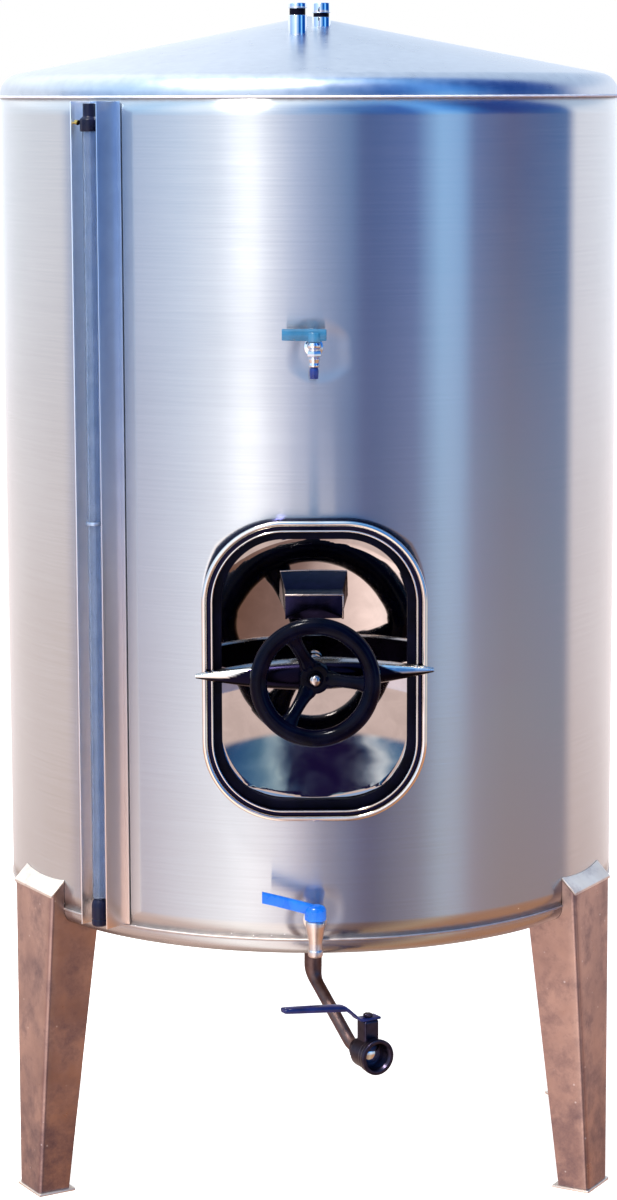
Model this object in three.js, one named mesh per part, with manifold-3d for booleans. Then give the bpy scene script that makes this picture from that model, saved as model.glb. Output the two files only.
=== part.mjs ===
// Vertical stainless storage tank of about 1000 litres on four folded legs, with a level gauge,
// an inward-opening manway under a clamping bridge and handwheel, a sample tap, a drain tap and
// a bottom outlet with its own valve.
// Millimetres, +Z up, the front faces -Y, +X is to the right of someone facing the tank.
// The origin is on the floor in the middle of the footprint, a little before the shell's axis.
// Each piece is made about the shell's axis and moved there as it is added.
import * as THREE from 'three';
import { mergeVertices } from 'three/addons/utils/BufferGeometryUtils.js';
import Module from 'manifold-3d';

const wasm = await Module();
wasm.setup();

// Driving dimensions
const GAP = 0.3; // left between pieces that touch
const SIDES = 72; // flats round the tank
const SHELL_RADIUS = 490;
const SHEET = 2;
const SHELL_BOTTOM = 470;
const SHELL_TOP = 1720;
const SEAM_HALF = 2; // half of the slot that a weld bead fills
const BEAD_PROUD = 1.6;
const ROOF_KNUCKLE = 34;
const ROOF_SLOPE = THREE.MathUtils.degToRad(11);
const BOTTOM_KNUCKLE = 24;

const LEG_ANGLES = { front_left: -60, front_right: 60, back_left: -113, back_right: 113 };
const LEG_SHEET = 3;
const LEG_BEND = 7; // outside radius of the folds
const LEG_TOP = { z: 490, out: 508, half: 66, depth: 86 };
const LEG_FOOT = { z: 4.3, out: 523, half: 36, depth: 52 };
const COVER_RUN = 18; // the sloping cover closes this much, out and up
const FOOT_PLATE = 4;
const FOOT_MARGIN = { outer: 2, side: 4, inner: 10 };

const DOOR_Z = 883;
const RIM = { width: 332, height: 449, corner: 122, front: -519 };
const NECK_OUT = -6; // offsets inwards from the outline of the rim
const NECK_IN = -9;
const LIP_IN = -17;
const GASKET_OUT = -12.4;
const GASKET_IN = -29;
const PLATE_OUT = -13;
const NECK_BACK = -455;
const LIP_BACK = -501;
const GASKET_BACK = -484;
const PLATE_DISH = 14;
const PLATE_FLANGE = 0.9; // share of the outline inside which the plate is dished
const PLATE_SHEET = 3;
const LUG = { half: 43, bottom: 962, top: 999, front: -514, sheet: 3 };
const STUD_RADIUS = 8;
const STUD_END = -580;
const BRIDGE = {
  half: 175, tip: 3, swell: 21, tipDepth: 9, depthSwell: 21, tilt: 1.3, power: 1.75,
};
const WHEEL = { radius: 82.5, rim: 12.5, plane: -598, hub: 25, hubLength: 22 };

const GAUGE_ANGLE = -38.75;
const GAUGE = {
  half: 24.2, foot: 33, depth: 45, bottom: 473, top: 1714, tube: 10.5, bore: 8, out: 522,
};
const GAUGE_NIPPLE = { z: 492, radius: 7 };
const GAUGE_CLIP_Z = 1091;

const TAP_OUT = -540; // distance of both front taps from the axis
const SAMPLE_TAP_Z = 1360;
const DRAIN_TAP_Z = 503;
const OUTLET_TOP = new THREE.Vector3(-2, -400, 0);
const OUTLET_BALL = new THREE.Vector3(78, -534, 308);
const OUTLET_YAW = 30; // the outlet faces this far to the right of straight ahead

// From the middle of the footprint to the shell's axis
const AXIS_Y = (WHEEL.rim - WHEEL.plane - SHELL_RADIUS - BEAD_PROUD) / 2;

// Finishes
const brushedSteel = { color: 0xa9adb6, roughness: 0.35, metalness: 1 };
const polishedSteel = { color: 0xd6d8dc, roughness: 0.08, metalness: 1 };
const blackPaint = { color: 0x0e1014, roughness: 0.2, metalness: 0 };
const blackRubber = { color: 0x15131a, roughness: 0.6, metalness: 0 };
const clearTube = { color: 0xb9cbe0, roughness: 0.1, metalness: 0 };
const azureSleeve = { color: 0x1f8df0, roughness: 0.4, metalness: 0 };
const tealSleeve = { color: 0x3f8fb8, roughness: 0.4, metalness: 0 };
const navySleeve = { color: 0x1c2f8c, roughness: 0.4, metalness: 0 };
const brassMetal = { color: 0xc9a650, roughness: 0.3, metalness: 1 };

const tank = new THREE.Group();
const radians = THREE.MathUtils.degToRad;

// Volume inside a triangle soup, negative when its faces point inwards
function signedVolume(position, corners) {
  const [a, b, c] = [new THREE.Vector3(), new THREE.Vector3(), new THREE.Vector3()];
  let sum = 0;
  for (let i = 0; i < corners.length; i += 3) {
    a.fromBufferAttribute(position, corners[i]);
    b.fromBufferAttribute(position, corners[i + 1]);
    c.fromBufferAttribute(position, corners[i + 2]);
    sum += a.dot(b.cross(c));
  }
  return sum / 6;
}

// A closed geometry as a solid that can be joined and cut
function toSolid(geometry) {
  const bare = geometry.clone();
  bare.deleteAttribute('normal');
  bare.deleteAttribute('uv');
  const merged = mergeVertices(bare, 1e-3);
  const all = merged.index.array;
  const corners = [];
  for (let i = 0; i < all.length; i += 3) {
    const [a, b, c] = [all[i], all[i + 1], all[i + 2]];
    if (a !== b && b !== c && c !== a) corners.push(a, b, c);
  }
  if (signedVolume(merged.attributes.position, corners) < 0) corners.reverse();
  return new wasm.Manifold(new wasm.Mesh({
    numProp: 3,
    vertProperties: new Float32Array(merged.attributes.position.array),
    triVerts: new Uint32Array(corners),
  }));
}

// Adds a named piece to the tank
function addPiece(name, solid, finish) {
  const { vertProperties, triVerts } = solid.translate([0, AXIS_Y, 0]).getMesh();
  const geometry = new THREE.BufferGeometry();
  geometry.setAttribute('position', new THREE.BufferAttribute(vertProperties, 3));
  geometry.setIndex(new THREE.BufferAttribute(triVerts, 1));
  geometry.computeVertexNormals();
  const mesh = new THREE.Mesh(geometry, new THREE.MeshStandardMaterial(finish));
  mesh.name = name;
  tank.add(mesh);
}

// Solid skinned over rings of points, closed by its end rings or, when wrapped, back to its start
function skin(rings, wrapped = false) {
  const count = rings[0].length;
  const points = rings.flat();
  const corners = [];
  const last = wrapped ? rings.length : rings.length - 1;
  for (let r = 0; r < last; r += 1) {
    const here = r * count;
    const next = ((r + 1) % rings.length) * count;
    for (let i = 0; i < count; i += 1) {
      const j = (i + 1) % count;
      corners.push(here + i, here + j, next + j, here + i, next + j, next + i);
    }
  }
  if (!wrapped) {
    [0, rings.length - 1].forEach((r) => {
      const centre = points.length;
      points.push(rings[r].reduce((sum, p) => sum.add(p), new THREE.Vector3()).divideScalar(count));
      for (let i = 0; i < count; i += 1) {
        const j = (i + 1) % count;
        if (r === 0) corners.push(r * count + j, r * count + i, centre);
        else corners.push(r * count + i, r * count + j, centre);
      }
    });
  }
  const geometry = new THREE.BufferGeometry().setFromPoints(points);
  geometry.setIndex(corners);
  return toSolid(geometry);
}

// Body of revolution about +Z from [radius, height] pairs
function turned(profile, sides = SIDES, closed = false) {
  const points = profile.map(([r, z]) => new THREE.Vector2(r, z));
  if (closed) points.push(points[0].clone());
  return toSolid(new THREE.LatheGeometry(points, sides).rotateX(Math.PI / 2));
}

// Points of an arc in a [radius, height] profile
function arc(centreR, centreZ, radius, from, to, steps) {
  return Array.from({ length: steps + 1 }, (_, i) => {
    const angle = radians(from + ((to - from) * i) / steps);
    return [centreR + radius * Math.cos(angle), centreZ + radius * Math.sin(angle)];
  });
}

function box(x0, x1, y0, y1, z0, z1) {
  const geometry = new THREE.BoxGeometry(x1 - x0, y1 - y0, z1 - z0);
  return toSolid(geometry.translate((x0 + x1) / 2, (y0 + y1) / 2, (z0 + z1) / 2));
}

// Round bar between two points, of one radius or tapering to a second
function bar(from, to, radius, endRadius = radius, sides = 24) {
  const start = new THREE.Vector3(...from);
  const end = new THREE.Vector3(...to);
  const geometry = new THREE.CylinderGeometry(endRadius, radius, start.distanceTo(end), sides);
  const turn = new THREE.Quaternion();
  turn.setFromUnitVectors(new THREE.Vector3(0, 1, 0), end.clone().sub(start).normalize());
  geometry.applyQuaternion(turn).translate(...start.add(end).divideScalar(2));
  return toSolid(geometry);
}

// Turns a solid that was made at the front of the tank round to another angle
function turnTo(solid, degrees) {
  return solid.rotate([0, 0, degrees]);
}

// Shell, roof and bottom
const roofTop = SHELL_TOP + SEAM_HALF;
const floorTop = SHELL_BOTTOM - SEAM_HALF;
const coneAngle = 90 - THREE.MathUtils.radToDeg(ROOF_SLOPE);

function roofProfile(inset) {
  const radius = ROOF_KNUCKLE - inset;
  const knuckle = arc(SHELL_RADIUS - ROOF_KNUCKLE, roofTop, radius, 0, coneAngle, 5);
  const [edgeR, edgeZ] = knuckle[knuckle.length - 1];
  return [...knuckle, [0, edgeZ + edgeR * Math.tan(ROOF_SLOPE)]];
}

function bottomProfile(inset) {
  const radius = BOTTOM_KNUCKLE - inset;
  return [...arc(SHELL_RADIUS - BOTTOM_KNUCKLE, floorTop, radius, 0, -90, 4), [0, floorTop - radius]];
}

function roofHeight(out) {
  const profile = roofProfile(0);
  return profile[profile.length - 1][1] - out * Math.tan(ROOF_SLOPE);
}

// The whole tank's outside, a gap larger, for cutting what is welded to it
const beadRadius = SHELL_RADIUS + BEAD_PROUD + GAP;
const envelope = turned([
  ...bottomProfile(-GAP).reverse(),
  [beadRadius, SHELL_BOTTOM - SEAM_HALF],
  [beadRadius, SHELL_BOTTOM + SEAM_HALF],
  [SHELL_RADIUS + GAP, SHELL_BOTTOM + SEAM_HALF],
  [SHELL_RADIUS + GAP, SHELL_TOP],
  [0, SHELL_TOP],
]);

function rimOutline(offset, y, steps = 7) {
  const corner = RIM.corner + offset;
  const halfWidth = RIM.width / 2 + offset - corner;
  const halfHeight = RIM.height / 2 + offset - corner;
  return [[1, 1, 0], [-1, 1, 90], [-1, -1, 180], [1, -1, 270]].flatMap(([sx, sz, start]) => (
    arc(sx * halfWidth, DOOR_Z + sz * halfHeight, corner, start, start + 90, steps)
      .map(([x, z]) => new THREE.Vector3(x, y, z))
  ));
}

function shellPieces() {
  const wall = turned([
    [SHELL_RADIUS, SHELL_BOTTOM + SEAM_HALF],
    [SHELL_RADIUS, SHELL_TOP - SEAM_HALF],
    [SHELL_RADIUS - SHEET, SHELL_TOP - SEAM_HALF],
    [SHELL_RADIUS - SHEET, SHELL_BOTTOM + SEAM_HALF],
  ], SIDES, true);
  const throughWall = SHELL_RADIUS + 30;
  const inside = SHELL_RADIUS - 80;
  const doorway = skin([rimOutline(NECK_OUT + GAP, -throughWall), rimOutline(NECK_OUT + GAP, -inside)]);
  const sampleHole = bar([0, -throughWall, SAMPLE_TAP_Z], [0, -inside, SAMPLE_TAP_Z], 8 + GAP);
  const drainHole = bar([0, -throughWall, DRAIN_TAP_Z], [0, -inside, DRAIN_TAP_Z], 11 + GAP);
  const nippleRadius = GAUGE_NIPPLE.radius + GAP;
  const gaugeHole = turnTo(
    bar([0, -throughWall, GAUGE_NIPPLE.z], [0, -inside, GAUGE_NIPPLE.z], nippleRadius),
    GAUGE_ANGLE,
  );
  return [doorway, sampleHole, drainHole, gaugeHole].reduce((left, cut) => left.subtract(cut), wall);
}

// Wedge of the tank between two angles and two heights
function sector(from, to, low, high) {
  const reach = SHELL_RADIUS * 2;
  const half = GAP / 2;
  const slack = THREE.MathUtils.radToDeg(half / SHELL_RADIUS);
  const angles = [from + slack, (from + to) / 2, to - slack].map(radians);
  const base = [[0, 0], ...angles.map((a) => [reach * Math.sin(a), -reach * Math.cos(a)])];
  return skin([low + half, high - half].map((z) => base.map(([x, y]) => new THREE.Vector3(x, y, z))));
}

const FRONT_HALF_ANGLE = 25;
const FRONT_CUT = 195; // the front is split this far above and below the middle of the door
const SECTORS = [
  ['shell_front_top', -FRONT_HALF_ANGLE, FRONT_HALF_ANGLE, DOOR_Z + FRONT_CUT, SHELL_TOP],
  ['shell_front_bottom', -FRONT_HALF_ANGLE, FRONT_HALF_ANGLE, SHELL_BOTTOM, DOOR_Z - FRONT_CUT],
  ['shell_front_left', -FRONT_HALF_ANGLE, 0, DOOR_Z - FRONT_CUT, DOOR_Z + FRONT_CUT],
  ['shell_front_right', 0, FRONT_HALF_ANGLE, DOOR_Z - FRONT_CUT, DOOR_Z + FRONT_CUT],
  ['shell_right_front', 25, 75, SHELL_BOTTOM, SHELL_TOP],
  ['shell_right', 75, 125, SHELL_BOTTOM, SHELL_TOP],
  ['shell_right_back', 125, 180, SHELL_BOTTOM, SHELL_TOP],
  ['shell_left_back', 180, 235, SHELL_BOTTOM, SHELL_TOP],
  ['shell_left', 235, 285, SHELL_BOTTOM, SHELL_TOP],
  ['shell_left_front', 285, 335, SHELL_BOTTOM, SHELL_TOP],
];

const shell = shellPieces();
SECTORS.forEach(([name, from, to, low, high]) => {
  addPiece(name, shell.intersect(sector(from, to, low, high)), brushedSteel);
});

function seamBead(z) {
  const half = SEAM_HALF - GAP;
  const inner = SHELL_RADIUS - SHEET;
  return turned([
    [inner, z - half],
    [SHELL_RADIUS, z - half],
    [SHELL_RADIUS + BEAD_PROUD, z - half / 2],
    [SHELL_RADIUS + BEAD_PROUD, z + half / 2],
    [SHELL_RADIUS, z + half],
    [inner, z + half],
  ], SIDES, true);
}

addPiece('top_seam', seamBead(SHELL_TOP), polishedSteel);
addPiece('bottom_seam', seamBead(SHELL_BOTTOM), polishedSteel);

// Roof nozzles with their caps
const NOZZLE_RADIUS = 14.5;
const NOZZLES = [
  { name: 'left', x: -19.3, y: -150, neck: 1843.5, cap: 1853.5, top: 1862 },
  { name: 'right', x: 18.3, y: -77, neck: 1842, cap: 1848, top: 1864 },
];

const roofCuts = NOZZLES.map(({ x, y }) => bar([x, y, 1700], [x, y, 1900], NOZZLE_RADIUS + GAP));
const roofShell = turned([...roofProfile(0), ...roofProfile(SHEET).reverse()], SIDES, true);
addPiece('roof', roofCuts.reduce((left, cut) => left.subtract(cut), roofShell), brushedSteel);

NOZZLES.forEach(({ name, x, y, neck, cap, top }) => {
  const foot = roofHeight(Math.hypot(x, y)) - 12;
  const bore = NOZZLE_RADIUS - 2;
  const tube = turned([
    [NOZZLE_RADIUS, foot], [NOZZLE_RADIUS, neck], [bore, neck], [bore, foot],
  ], 24, true);
  const lid = turned([
    [0, neck - 8], [bore - GAP, neck - 8], [bore - GAP, cap], [NOZZLE_RADIUS, cap],
    [NOZZLE_RADIUS, top - 1], [NOZZLE_RADIUS - 1, top], [0, top],
  ], 24);
  addPiece(`roof_nozzle_${name}`, tube.translate([x, y, 0]), brushedSteel);
  addPiece(`nozzle_cap_${name}`, lid.translate([x, y, 0]), polishedSteel);
});

const OUTLET_RADIUS = 13.45;
const bottomShell = turned([...bottomProfile(0).reverse(), ...bottomProfile(SHEET)], SIDES, true);
const { x: outletX, y: outletY } = OUTLET_TOP;
const outletHole = bar([outletX, outletY, 400], [outletX, outletY, 500], OUTLET_RADIUS - SHEET);
addPiece('tank_bottom', bottomShell.subtract(outletHole), brushedSteel);

// Legs: tapering channels, open towards the axis, made at the front and turned to their angles
function legBlock(inset, low, high) {
  const bend = LEG_BEND - inset;
  const rings = [low, high].map((z) => {
    const k = (z - LEG_FOOT.z) / (LEG_TOP.z - LEG_FOOT.z);
    const out = THREE.MathUtils.lerp(LEG_FOOT.out, LEG_TOP.out, k) - inset;
    const half = THREE.MathUtils.lerp(LEG_FOOT.half, LEG_TOP.half, k) - inset;
    const depth = THREE.MathUtils.lerp(LEG_FOOT.depth, LEG_TOP.depth, k) + inset;
    const back = depth - out - inset;
    const outline = [
      ...arc(bend - half, bend - out, bend, 180, 270, 3),
      ...arc(half - bend, bend - out, bend, 270, 360, 3),
      [half, back], [-half, back],
    ];
    return outline.map(([x, y]) => new THREE.Vector3(x, y, z));
  });
  return skin(rings);
}

// Slab parallel to the sloping cover, between two distances above its seat
function slopeSlab(low, high, half, out, up) {
  const slope = Math.SQRT1_2;
  const at = (along, above) => [
    -LEG_TOP.out + (along - above) * slope,
    LEG_TOP.z + (along + above) * slope,
  ];
  const section = [at(-out, low), at(up, low), at(up, high), at(-out, high)];
  return skin([-half, half].map((x) => section.map(([y, z]) => new THREE.Vector3(x, y, z))));
}

const legTopEnd = LEG_TOP.z + COVER_RUN + 8;
const legWall = legBlock(0, LEG_FOOT.z, legTopEnd)
  .subtract(legBlock(LEG_SHEET, LEG_FOOT.z - 10, legTopEnd + 10))
  .subtract(slopeSlab(0, 80, 120, 80, 80));
const legCover = slopeSlab(GAP, GAP + LEG_SHEET, LEG_TOP.half, 1, COVER_RUN * 1.6);
const footInner = LEG_FOOT.depth + FOOT_MARGIN.inner - LEG_FOOT.out;
const footOuter = -LEG_FOOT.out - FOOT_MARGIN.outer;
const footHalf = LEG_FOOT.half + FOOT_MARGIN.side;
const footPlate = box(-footHalf, footHalf, footOuter, footInner, 0, FOOT_PLATE);

Object.entries(LEG_ANGLES).forEach(([name, angle]) => {
  addPiece(`leg_${name}`, turnTo(legWall, angle).subtract(envelope), brushedSteel);
  addPiece(`leg_cover_${name}`, turnTo(legCover, angle).subtract(envelope), brushedSteel);
  addPiece(`foot_plate_${name}`, turnTo(footPlate, angle), brushedSteel);
});

// Manway frame and gasket, from sections of [offset, depth] carried round the rim's outline
function carriedRound(section) {
  return skin(section.map(([offset, y]) => rimOutline(offset, y)), true);
}

const rimBead = arc(-7, RIM.front + 7, 7, 0, -180, 6).filter(([offset]) => offset > -13);
addPiece('manway_frame', carriedRound([
  [NECK_OUT, NECK_BACK], [NECK_OUT, RIM.front + 11], ...rimBead,
  [-13.5, RIM.front + 6], [LIP_IN + 1.5, RIM.front + 4], [LIP_IN, RIM.front + 5],
  [LIP_IN, LIP_BACK], [NECK_IN, LIP_BACK], [NECK_IN, NECK_BACK],
]), polishedSteel);
addPiece('manway_gasket', carriedRound([
  [GASKET_OUT, GASKET_BACK], [GASKET_OUT, LIP_BACK + GAP], [GASKET_IN + 2, LIP_BACK + GAP],
  [GASKET_IN, LIP_BACK + GAP + 2], [GASKET_IN, GASKET_BACK],
]), blackRubber);

// Door plate: flat where the gasket seats, dished inwards inside it
const plateFace = GASKET_BACK + GAP;
const dishDepth = (share) => PLATE_DISH * Math.max(0, 1 - (share / PLATE_FLANGE) ** 2);

function dishedPlate(thickness) {
  const shares = [1, PLATE_FLANGE, 0.76, 0.6, 0.44, 0.28, 0.12];
  const ring = (share, y) => rimOutline(PLATE_OUT, y)
    .map((p) => new THREE.Vector3(p.x * share, y, DOOR_Z + (p.z - DOOR_Z) * share));
  const face = shares.map((share) => ring(share, plateFace + dishDepth(share)));
  const back = shares.map((share) => ring(share, plateFace + dishDepth(share) + thickness));
  return skin([...face.reverse(), ...back]);
}

addPiece('manway_door', dishedPlate(PLATE_SHEET), polishedSteel);

const lugBack = plateFace + PLATE_DISH + 20;
const lugInner = LUG.half - LUG.sheet;
addPiece('door_lug', box(-LUG.half, LUG.half, LUG.front, lugBack, LUG.bottom, LUG.top)
  .subtract(box(-lugInner, lugInner, LUG.front + LUG.sheet, lugBack, LUG.bottom - 5, LUG.top - LUG.sheet))
  .subtract(dishedPlate(60).translate([0, -GAP, 0])), brushedSteel);

const studFoot = plateFace + PLATE_DISH - 2 * GAP;
addPiece('door_stud', bar([0, studFoot, DOOR_Z], [0, studFoot - 9, DOOR_Z], 18)
  .add(bar([0, studFoot - 8, DOOR_Z], [0, STUD_END, DOOR_Z], STUD_RADIUS)), polishedSteel);
const nutBack = STUD_END - GAP;
addPiece('stud_nut', bar([0, nutBack, DOOR_Z], [0, nutBack - 7.7, DOOR_Z], 8.5, 6), polishedSteel);

// Clamping bridge: a spindle that is deepest at the stud, its back flat across the rim
const bridgeBack = RIM.front - GAP;

function bridgeSection(x) {
  const swell = 1 - (Math.abs(x) / BRIDGE.half) ** BRIDGE.power;
  const half = BRIDGE.tip + BRIDGE.swell * swell;
  const front = bridgeBack - BRIDGE.tipDepth - BRIDGE.depthSwell * swell;
  const ease = (front - bridgeBack) * 0.25;
  return [[bridgeBack, -half * 0.85], [bridgeBack + ease, -half], [front - ease, -half * 0.8],
    [front, -half * 0.45], [front, half * 0.45], [front - ease, half * 0.8],
    [bridgeBack + ease, half], [bridgeBack, half * 0.85]]
    .map(([y, z]) => new THREE.Vector3(x, y, z));
}

const bridgeStations = Array.from({ length: 21 }, (_, i) => BRIDGE.half * (i / 10 - 1));
const runningFit = 0.5; // round the stud
addPiece('bridge', skin(bridgeStations.map(bridgeSection))
  .subtract(bar([0, -400, 0], [0, -700, 0], STUD_RADIUS + runningFit))
  .rotate([0, -BRIDGE.tilt, 0])
  .translate([0, 0, DOOR_Z]), polishedSteel);

// Handwheel: dished forwards from its hub, three spokes
const hubBack = bridgeBack - BRIDGE.tipDepth - BRIDGE.depthSwell - GAP;
const spokeAngles = [-3, 117, 237];

function spoke(degrees) {
  const angle = radians(degrees);
  const at = (out, y) => [out * Math.cos(angle), y, out * Math.sin(angle)];
  return bar(at(12, hubBack - 13), at(WHEEL.radius, WHEEL.plane), 11, 8.5, 10);
}

const wheelRim = toSolid(new THREE.TorusGeometry(WHEEL.radius, WHEEL.rim, 12, 48)
  .rotateX(Math.PI / 2).translate(0, WHEEL.plane, 0));
const hub = bar([0, hubBack, 0], [0, hubBack - WHEEL.hubLength, 0], WHEEL.hub, WHEEL.hub - 3);
const wheel = spokeAngles.reduce((left, angle) => left.add(spoke(angle)), wheelRim.add(hub));
addPiece('handwheel', wheel
  .subtract(bar([0, hubBack + 5, 0], [0, STUD_END + 1, 0], STUD_RADIUS + runningFit))
  .subtract(bar([0, hubBack - WHEEL.hubLength + 2, 0], [0, WHEEL.plane - 20, 0], 11))
  .translate([0, 0, DOOR_Z]), blackPaint);

// Level gauge: an open channel up the shell with a clear tube in it, made at the front
const channelBack = -SHELL_RADIUS - GAP;
const channelFront = channelBack - GAUGE.depth;
const channelSection = [
  [-GAUGE.foot, channelBack], [GAUGE.foot, channelBack], [GAUGE.foot, channelBack - SHEET],
  [GAUGE.half + SHEET, channelBack - SHEET], [GAUGE.half + SHEET, channelFront],
  [GAUGE.half, channelFront], [GAUGE.half, channelBack - SHEET], [-GAUGE.half, channelBack - SHEET],
  [-GAUGE.half, channelFront], [-GAUGE.half - SHEET, channelFront],
  [-GAUGE.half - SHEET, channelBack - SHEET], [-GAUGE.foot, channelBack - SHEET],
].map(([x, y]) => new THREE.Vector2(x, y));
const channelHeight = GAUGE.top - GAUGE.bottom;
const channel = toSolid(new THREE.ExtrudeGeometry(new THREE.Shape(channelSection), {
  depth: channelHeight, bevelEnabled: false,
}).translate(0, 0, GAUGE.bottom));
const gaugeY = -GAUGE.out;
const nippleCut = bar([0, -400, GAUGE_NIPPLE.z], [0, -496, GAUGE_NIPPLE.z], GAUGE_NIPPLE.radius + GAP);
addPiece('gauge_channel', turnTo(channel.subtract(nippleCut), GAUGE_ANGLE), polishedSteel);

const TUBE_LOW = 516;
const TUBE_HIGH = 1670;
const gaugeTube = turned([
  [GAUGE.tube, TUBE_LOW], [GAUGE.tube, TUBE_HIGH], [GAUGE.bore, TUBE_HIGH], [GAUGE.bore, TUBE_LOW],
], 24, true).translate([0, gaugeY, 0]);
addPiece('gauge_tube', turnTo(gaugeTube, GAUGE_ANGLE), clearTube);

const topFitting = turned([
  [0, TUBE_HIGH + GAP], [14, TUBE_HIGH + GAP], [14, 1688], [9.5, 1692], [9.5, 1711], [0, 1711],
], 24).translate([0, gaugeY, 0])
  .add(box(-6, 6, gaugeY, channelBack - SHEET - GAP, 1692, 1704));
addPiece('gauge_top_fitting', turnTo(topFitting, GAUGE_ANGLE), blackPaint);
const wing = bar([-9, gaugeY - 8, 1683], [-18, gaugeY - 8, 1684], 4, 3.5, 12)
  .add(box(-23.5, -15, gaugeY - 11.5, gaugeY - 5, 1681, 1684))
  .subtract(bar([0, gaugeY, 1650], [0, gaugeY, 1700], 14 + GAP));
addPiece('gauge_vent_lever', turnTo(wing, GAUGE_ANGLE), brassMetal);

const bottomFitting = turned([
  [0, 472.5], [10, 472.5], [12.5, 475], [12.5, 482], [11.5, 483.5], [12.5, 485], [12.5, 503],
  [11.5, 509], [8, TUBE_LOW - GAP], [0, TUBE_LOW - GAP],
], 24).translate([0, gaugeY, 0])
  .add(bar([0, gaugeY, GAUGE_NIPPLE.z], [0, -484, GAUGE_NIPPLE.z], GAUGE_NIPPLE.radius));
addPiece('gauge_bottom_fitting', turnTo(bottomFitting, GAUGE_ANGLE), blackPaint);

const clipHalf = 2.5;
const clipRing = turned([
  [13, GAUGE_CLIP_Z - clipHalf], [13, GAUGE_CLIP_Z + clipHalf],
  [GAUGE.tube + GAP, GAUGE_CLIP_Z + clipHalf], [GAUGE.tube + GAP, GAUGE_CLIP_Z - clipHalf],
], 24, true).translate([0, gaugeY, 0]);
const clipFoot = channelBack - SHEET - GAP;
const clipStem = box(-4, 4, gaugeY + 11.5, clipFoot, GAUGE_CLIP_Z - clipHalf, GAUGE_CLIP_Z + clipHalf);
addPiece('gauge_clip', turnTo(clipRing.add(clipStem), GAUGE_ANGLE), polishedSteel);

// Bar of rectangular section with eased edges through points given as [along, up, width, thickness]
function leverArm(points, ease = 0.25) {
  return skin(points.map(([x, z, width, thickness]) => {
    const [w, t] = [width / 2, thickness / 2];
    const [we, te] = [w * (1 - ease), t * (1 - ease)];
    return [[-w, -te], [-we, -t], [we, -t], [w, -te], [w, te], [we, t], [-we, t], [-w, te]]
      .map(([y, dz]) => new THREE.Vector3(x, y, z + dz));
  }));
}

// Sample tap: a short inlet, an upright barrel and a tapering spout, the lever pointing left
const sampleBody = bar([0, -484, SAMPLE_TAP_Z], [0, TAP_OUT, SAMPLE_TAP_Z], 8)
  .add(turned([
    [0, 1318], [6, 1318], [8, 1348], [10.5, 1351], [10.5, 1369], [9, 1371], [0, 1371],
  ], 24).translate([0, TAP_OUT, 0]))
  .add(bar([0, -491, SAMPLE_TAP_Z], [0, -495, SAMPLE_TAP_Z], 14))
  .subtract(bar([0, TAP_OUT, 1310], [0, TAP_OUT, 1334], 4, 4, 16));
addPiece('sample_tap_body', sampleBody, polishedSteel);
const sampleHub = turned([[0, 1371.3], [11, 1371.3], [11, 1385], [0, 1385]], 24);
const sampleLever = sampleHub.add(leverArm([[-46.5, 1381.5, 13, 17], [0, 1381, 14, 18], [18, 1381, 13, 17]]));
addPiece('sample_tap_lever', sampleLever.translate([0, TAP_OUT, 0]), tealSleeve);

// Drain tap: the same kind, larger, with a ringed spout that ends below the bottom seam
const drainBody = bar([0, -484, DRAIN_TAP_Z], [0, TAP_OUT, DRAIN_TAP_Z], 11)
  .add(turned([
    [0, 458], [9.5, 458], [11, 460], [11, 467], [9.8, 469], [9.8, 479], [11, 486], [14.5, 505],
    [14.5, 511], [12.5, 514], [0, 514],
  ], 28).translate([0, TAP_OUT, 0]))
  .add(bar([0, -491, DRAIN_TAP_Z], [0, -496, DRAIN_TAP_Z], 18))
  .subtract(bar([0, TAP_OUT, 450], [0, TAP_OUT, 484], 7, 7, 16));
addPiece('drain_tap_body', drainBody, polishedSteel);
const drainHub = turned([
  [0, 514.3], [15.5, 514.3], [16, 516], [16, 530], [13, 535], [6, 537], [0, 537],
], 28);
const drainLever = drainHub
  .add(leverArm([[-79, 549, 9, 17], [-60, 544.5, 9, 17], [-20, 534, 12, 17], [0, 528.5, 16, 16]]));
addPiece('drain_tap_lever', drainLever.translate([0, TAP_OUT, 0]), azureSleeve);

// Bottom outlet: a pipe that drops from the bottom plate and runs out to its valve
const yaw = radians(OUTLET_YAW);
const outletAxis = new THREE.Vector3(Math.sin(yaw), -Math.cos(yaw), 0);
const VALVE_HALF = 30;
const pipeEnd = OUTLET_BALL.clone().addScaledVector(outletAxis, -VALVE_HALF - GAP);
const pipeTop = OUTLET_TOP.clone().setZ(floorTop - BOTTOM_KNUCKLE - GAP);
const pipeElbow = OUTLET_TOP.clone().setZ(390);
const pipeTurn = pipeEnd.clone().addScaledVector(outletAxis, -16);
const BEND = 18;

function pipePath() {
  const path = new THREE.CurvePath();
  const nodes = [pipeTop, pipeElbow, pipeTurn, pipeEnd];
  let from = pipeTop;
  for (let i = 1; i < nodes.length - 1; i += 1) {
    const reach = Math.min(BEND, nodes[i].distanceTo(nodes[i + 1]) * 0.7);
    const into = nodes[i].clone().add(from.clone().sub(nodes[i]).setLength(reach));
    const out = nodes[i].clone().add(nodes[i + 1].clone().sub(nodes[i]).setLength(reach));
    path.add(new THREE.LineCurve3(from, into));
    path.add(new THREE.QuadraticBezierCurve3(into, nodes[i], out));
    from = out;
  }
  path.add(new THREE.LineCurve3(from, pipeEnd));
  return path;
}

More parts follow.
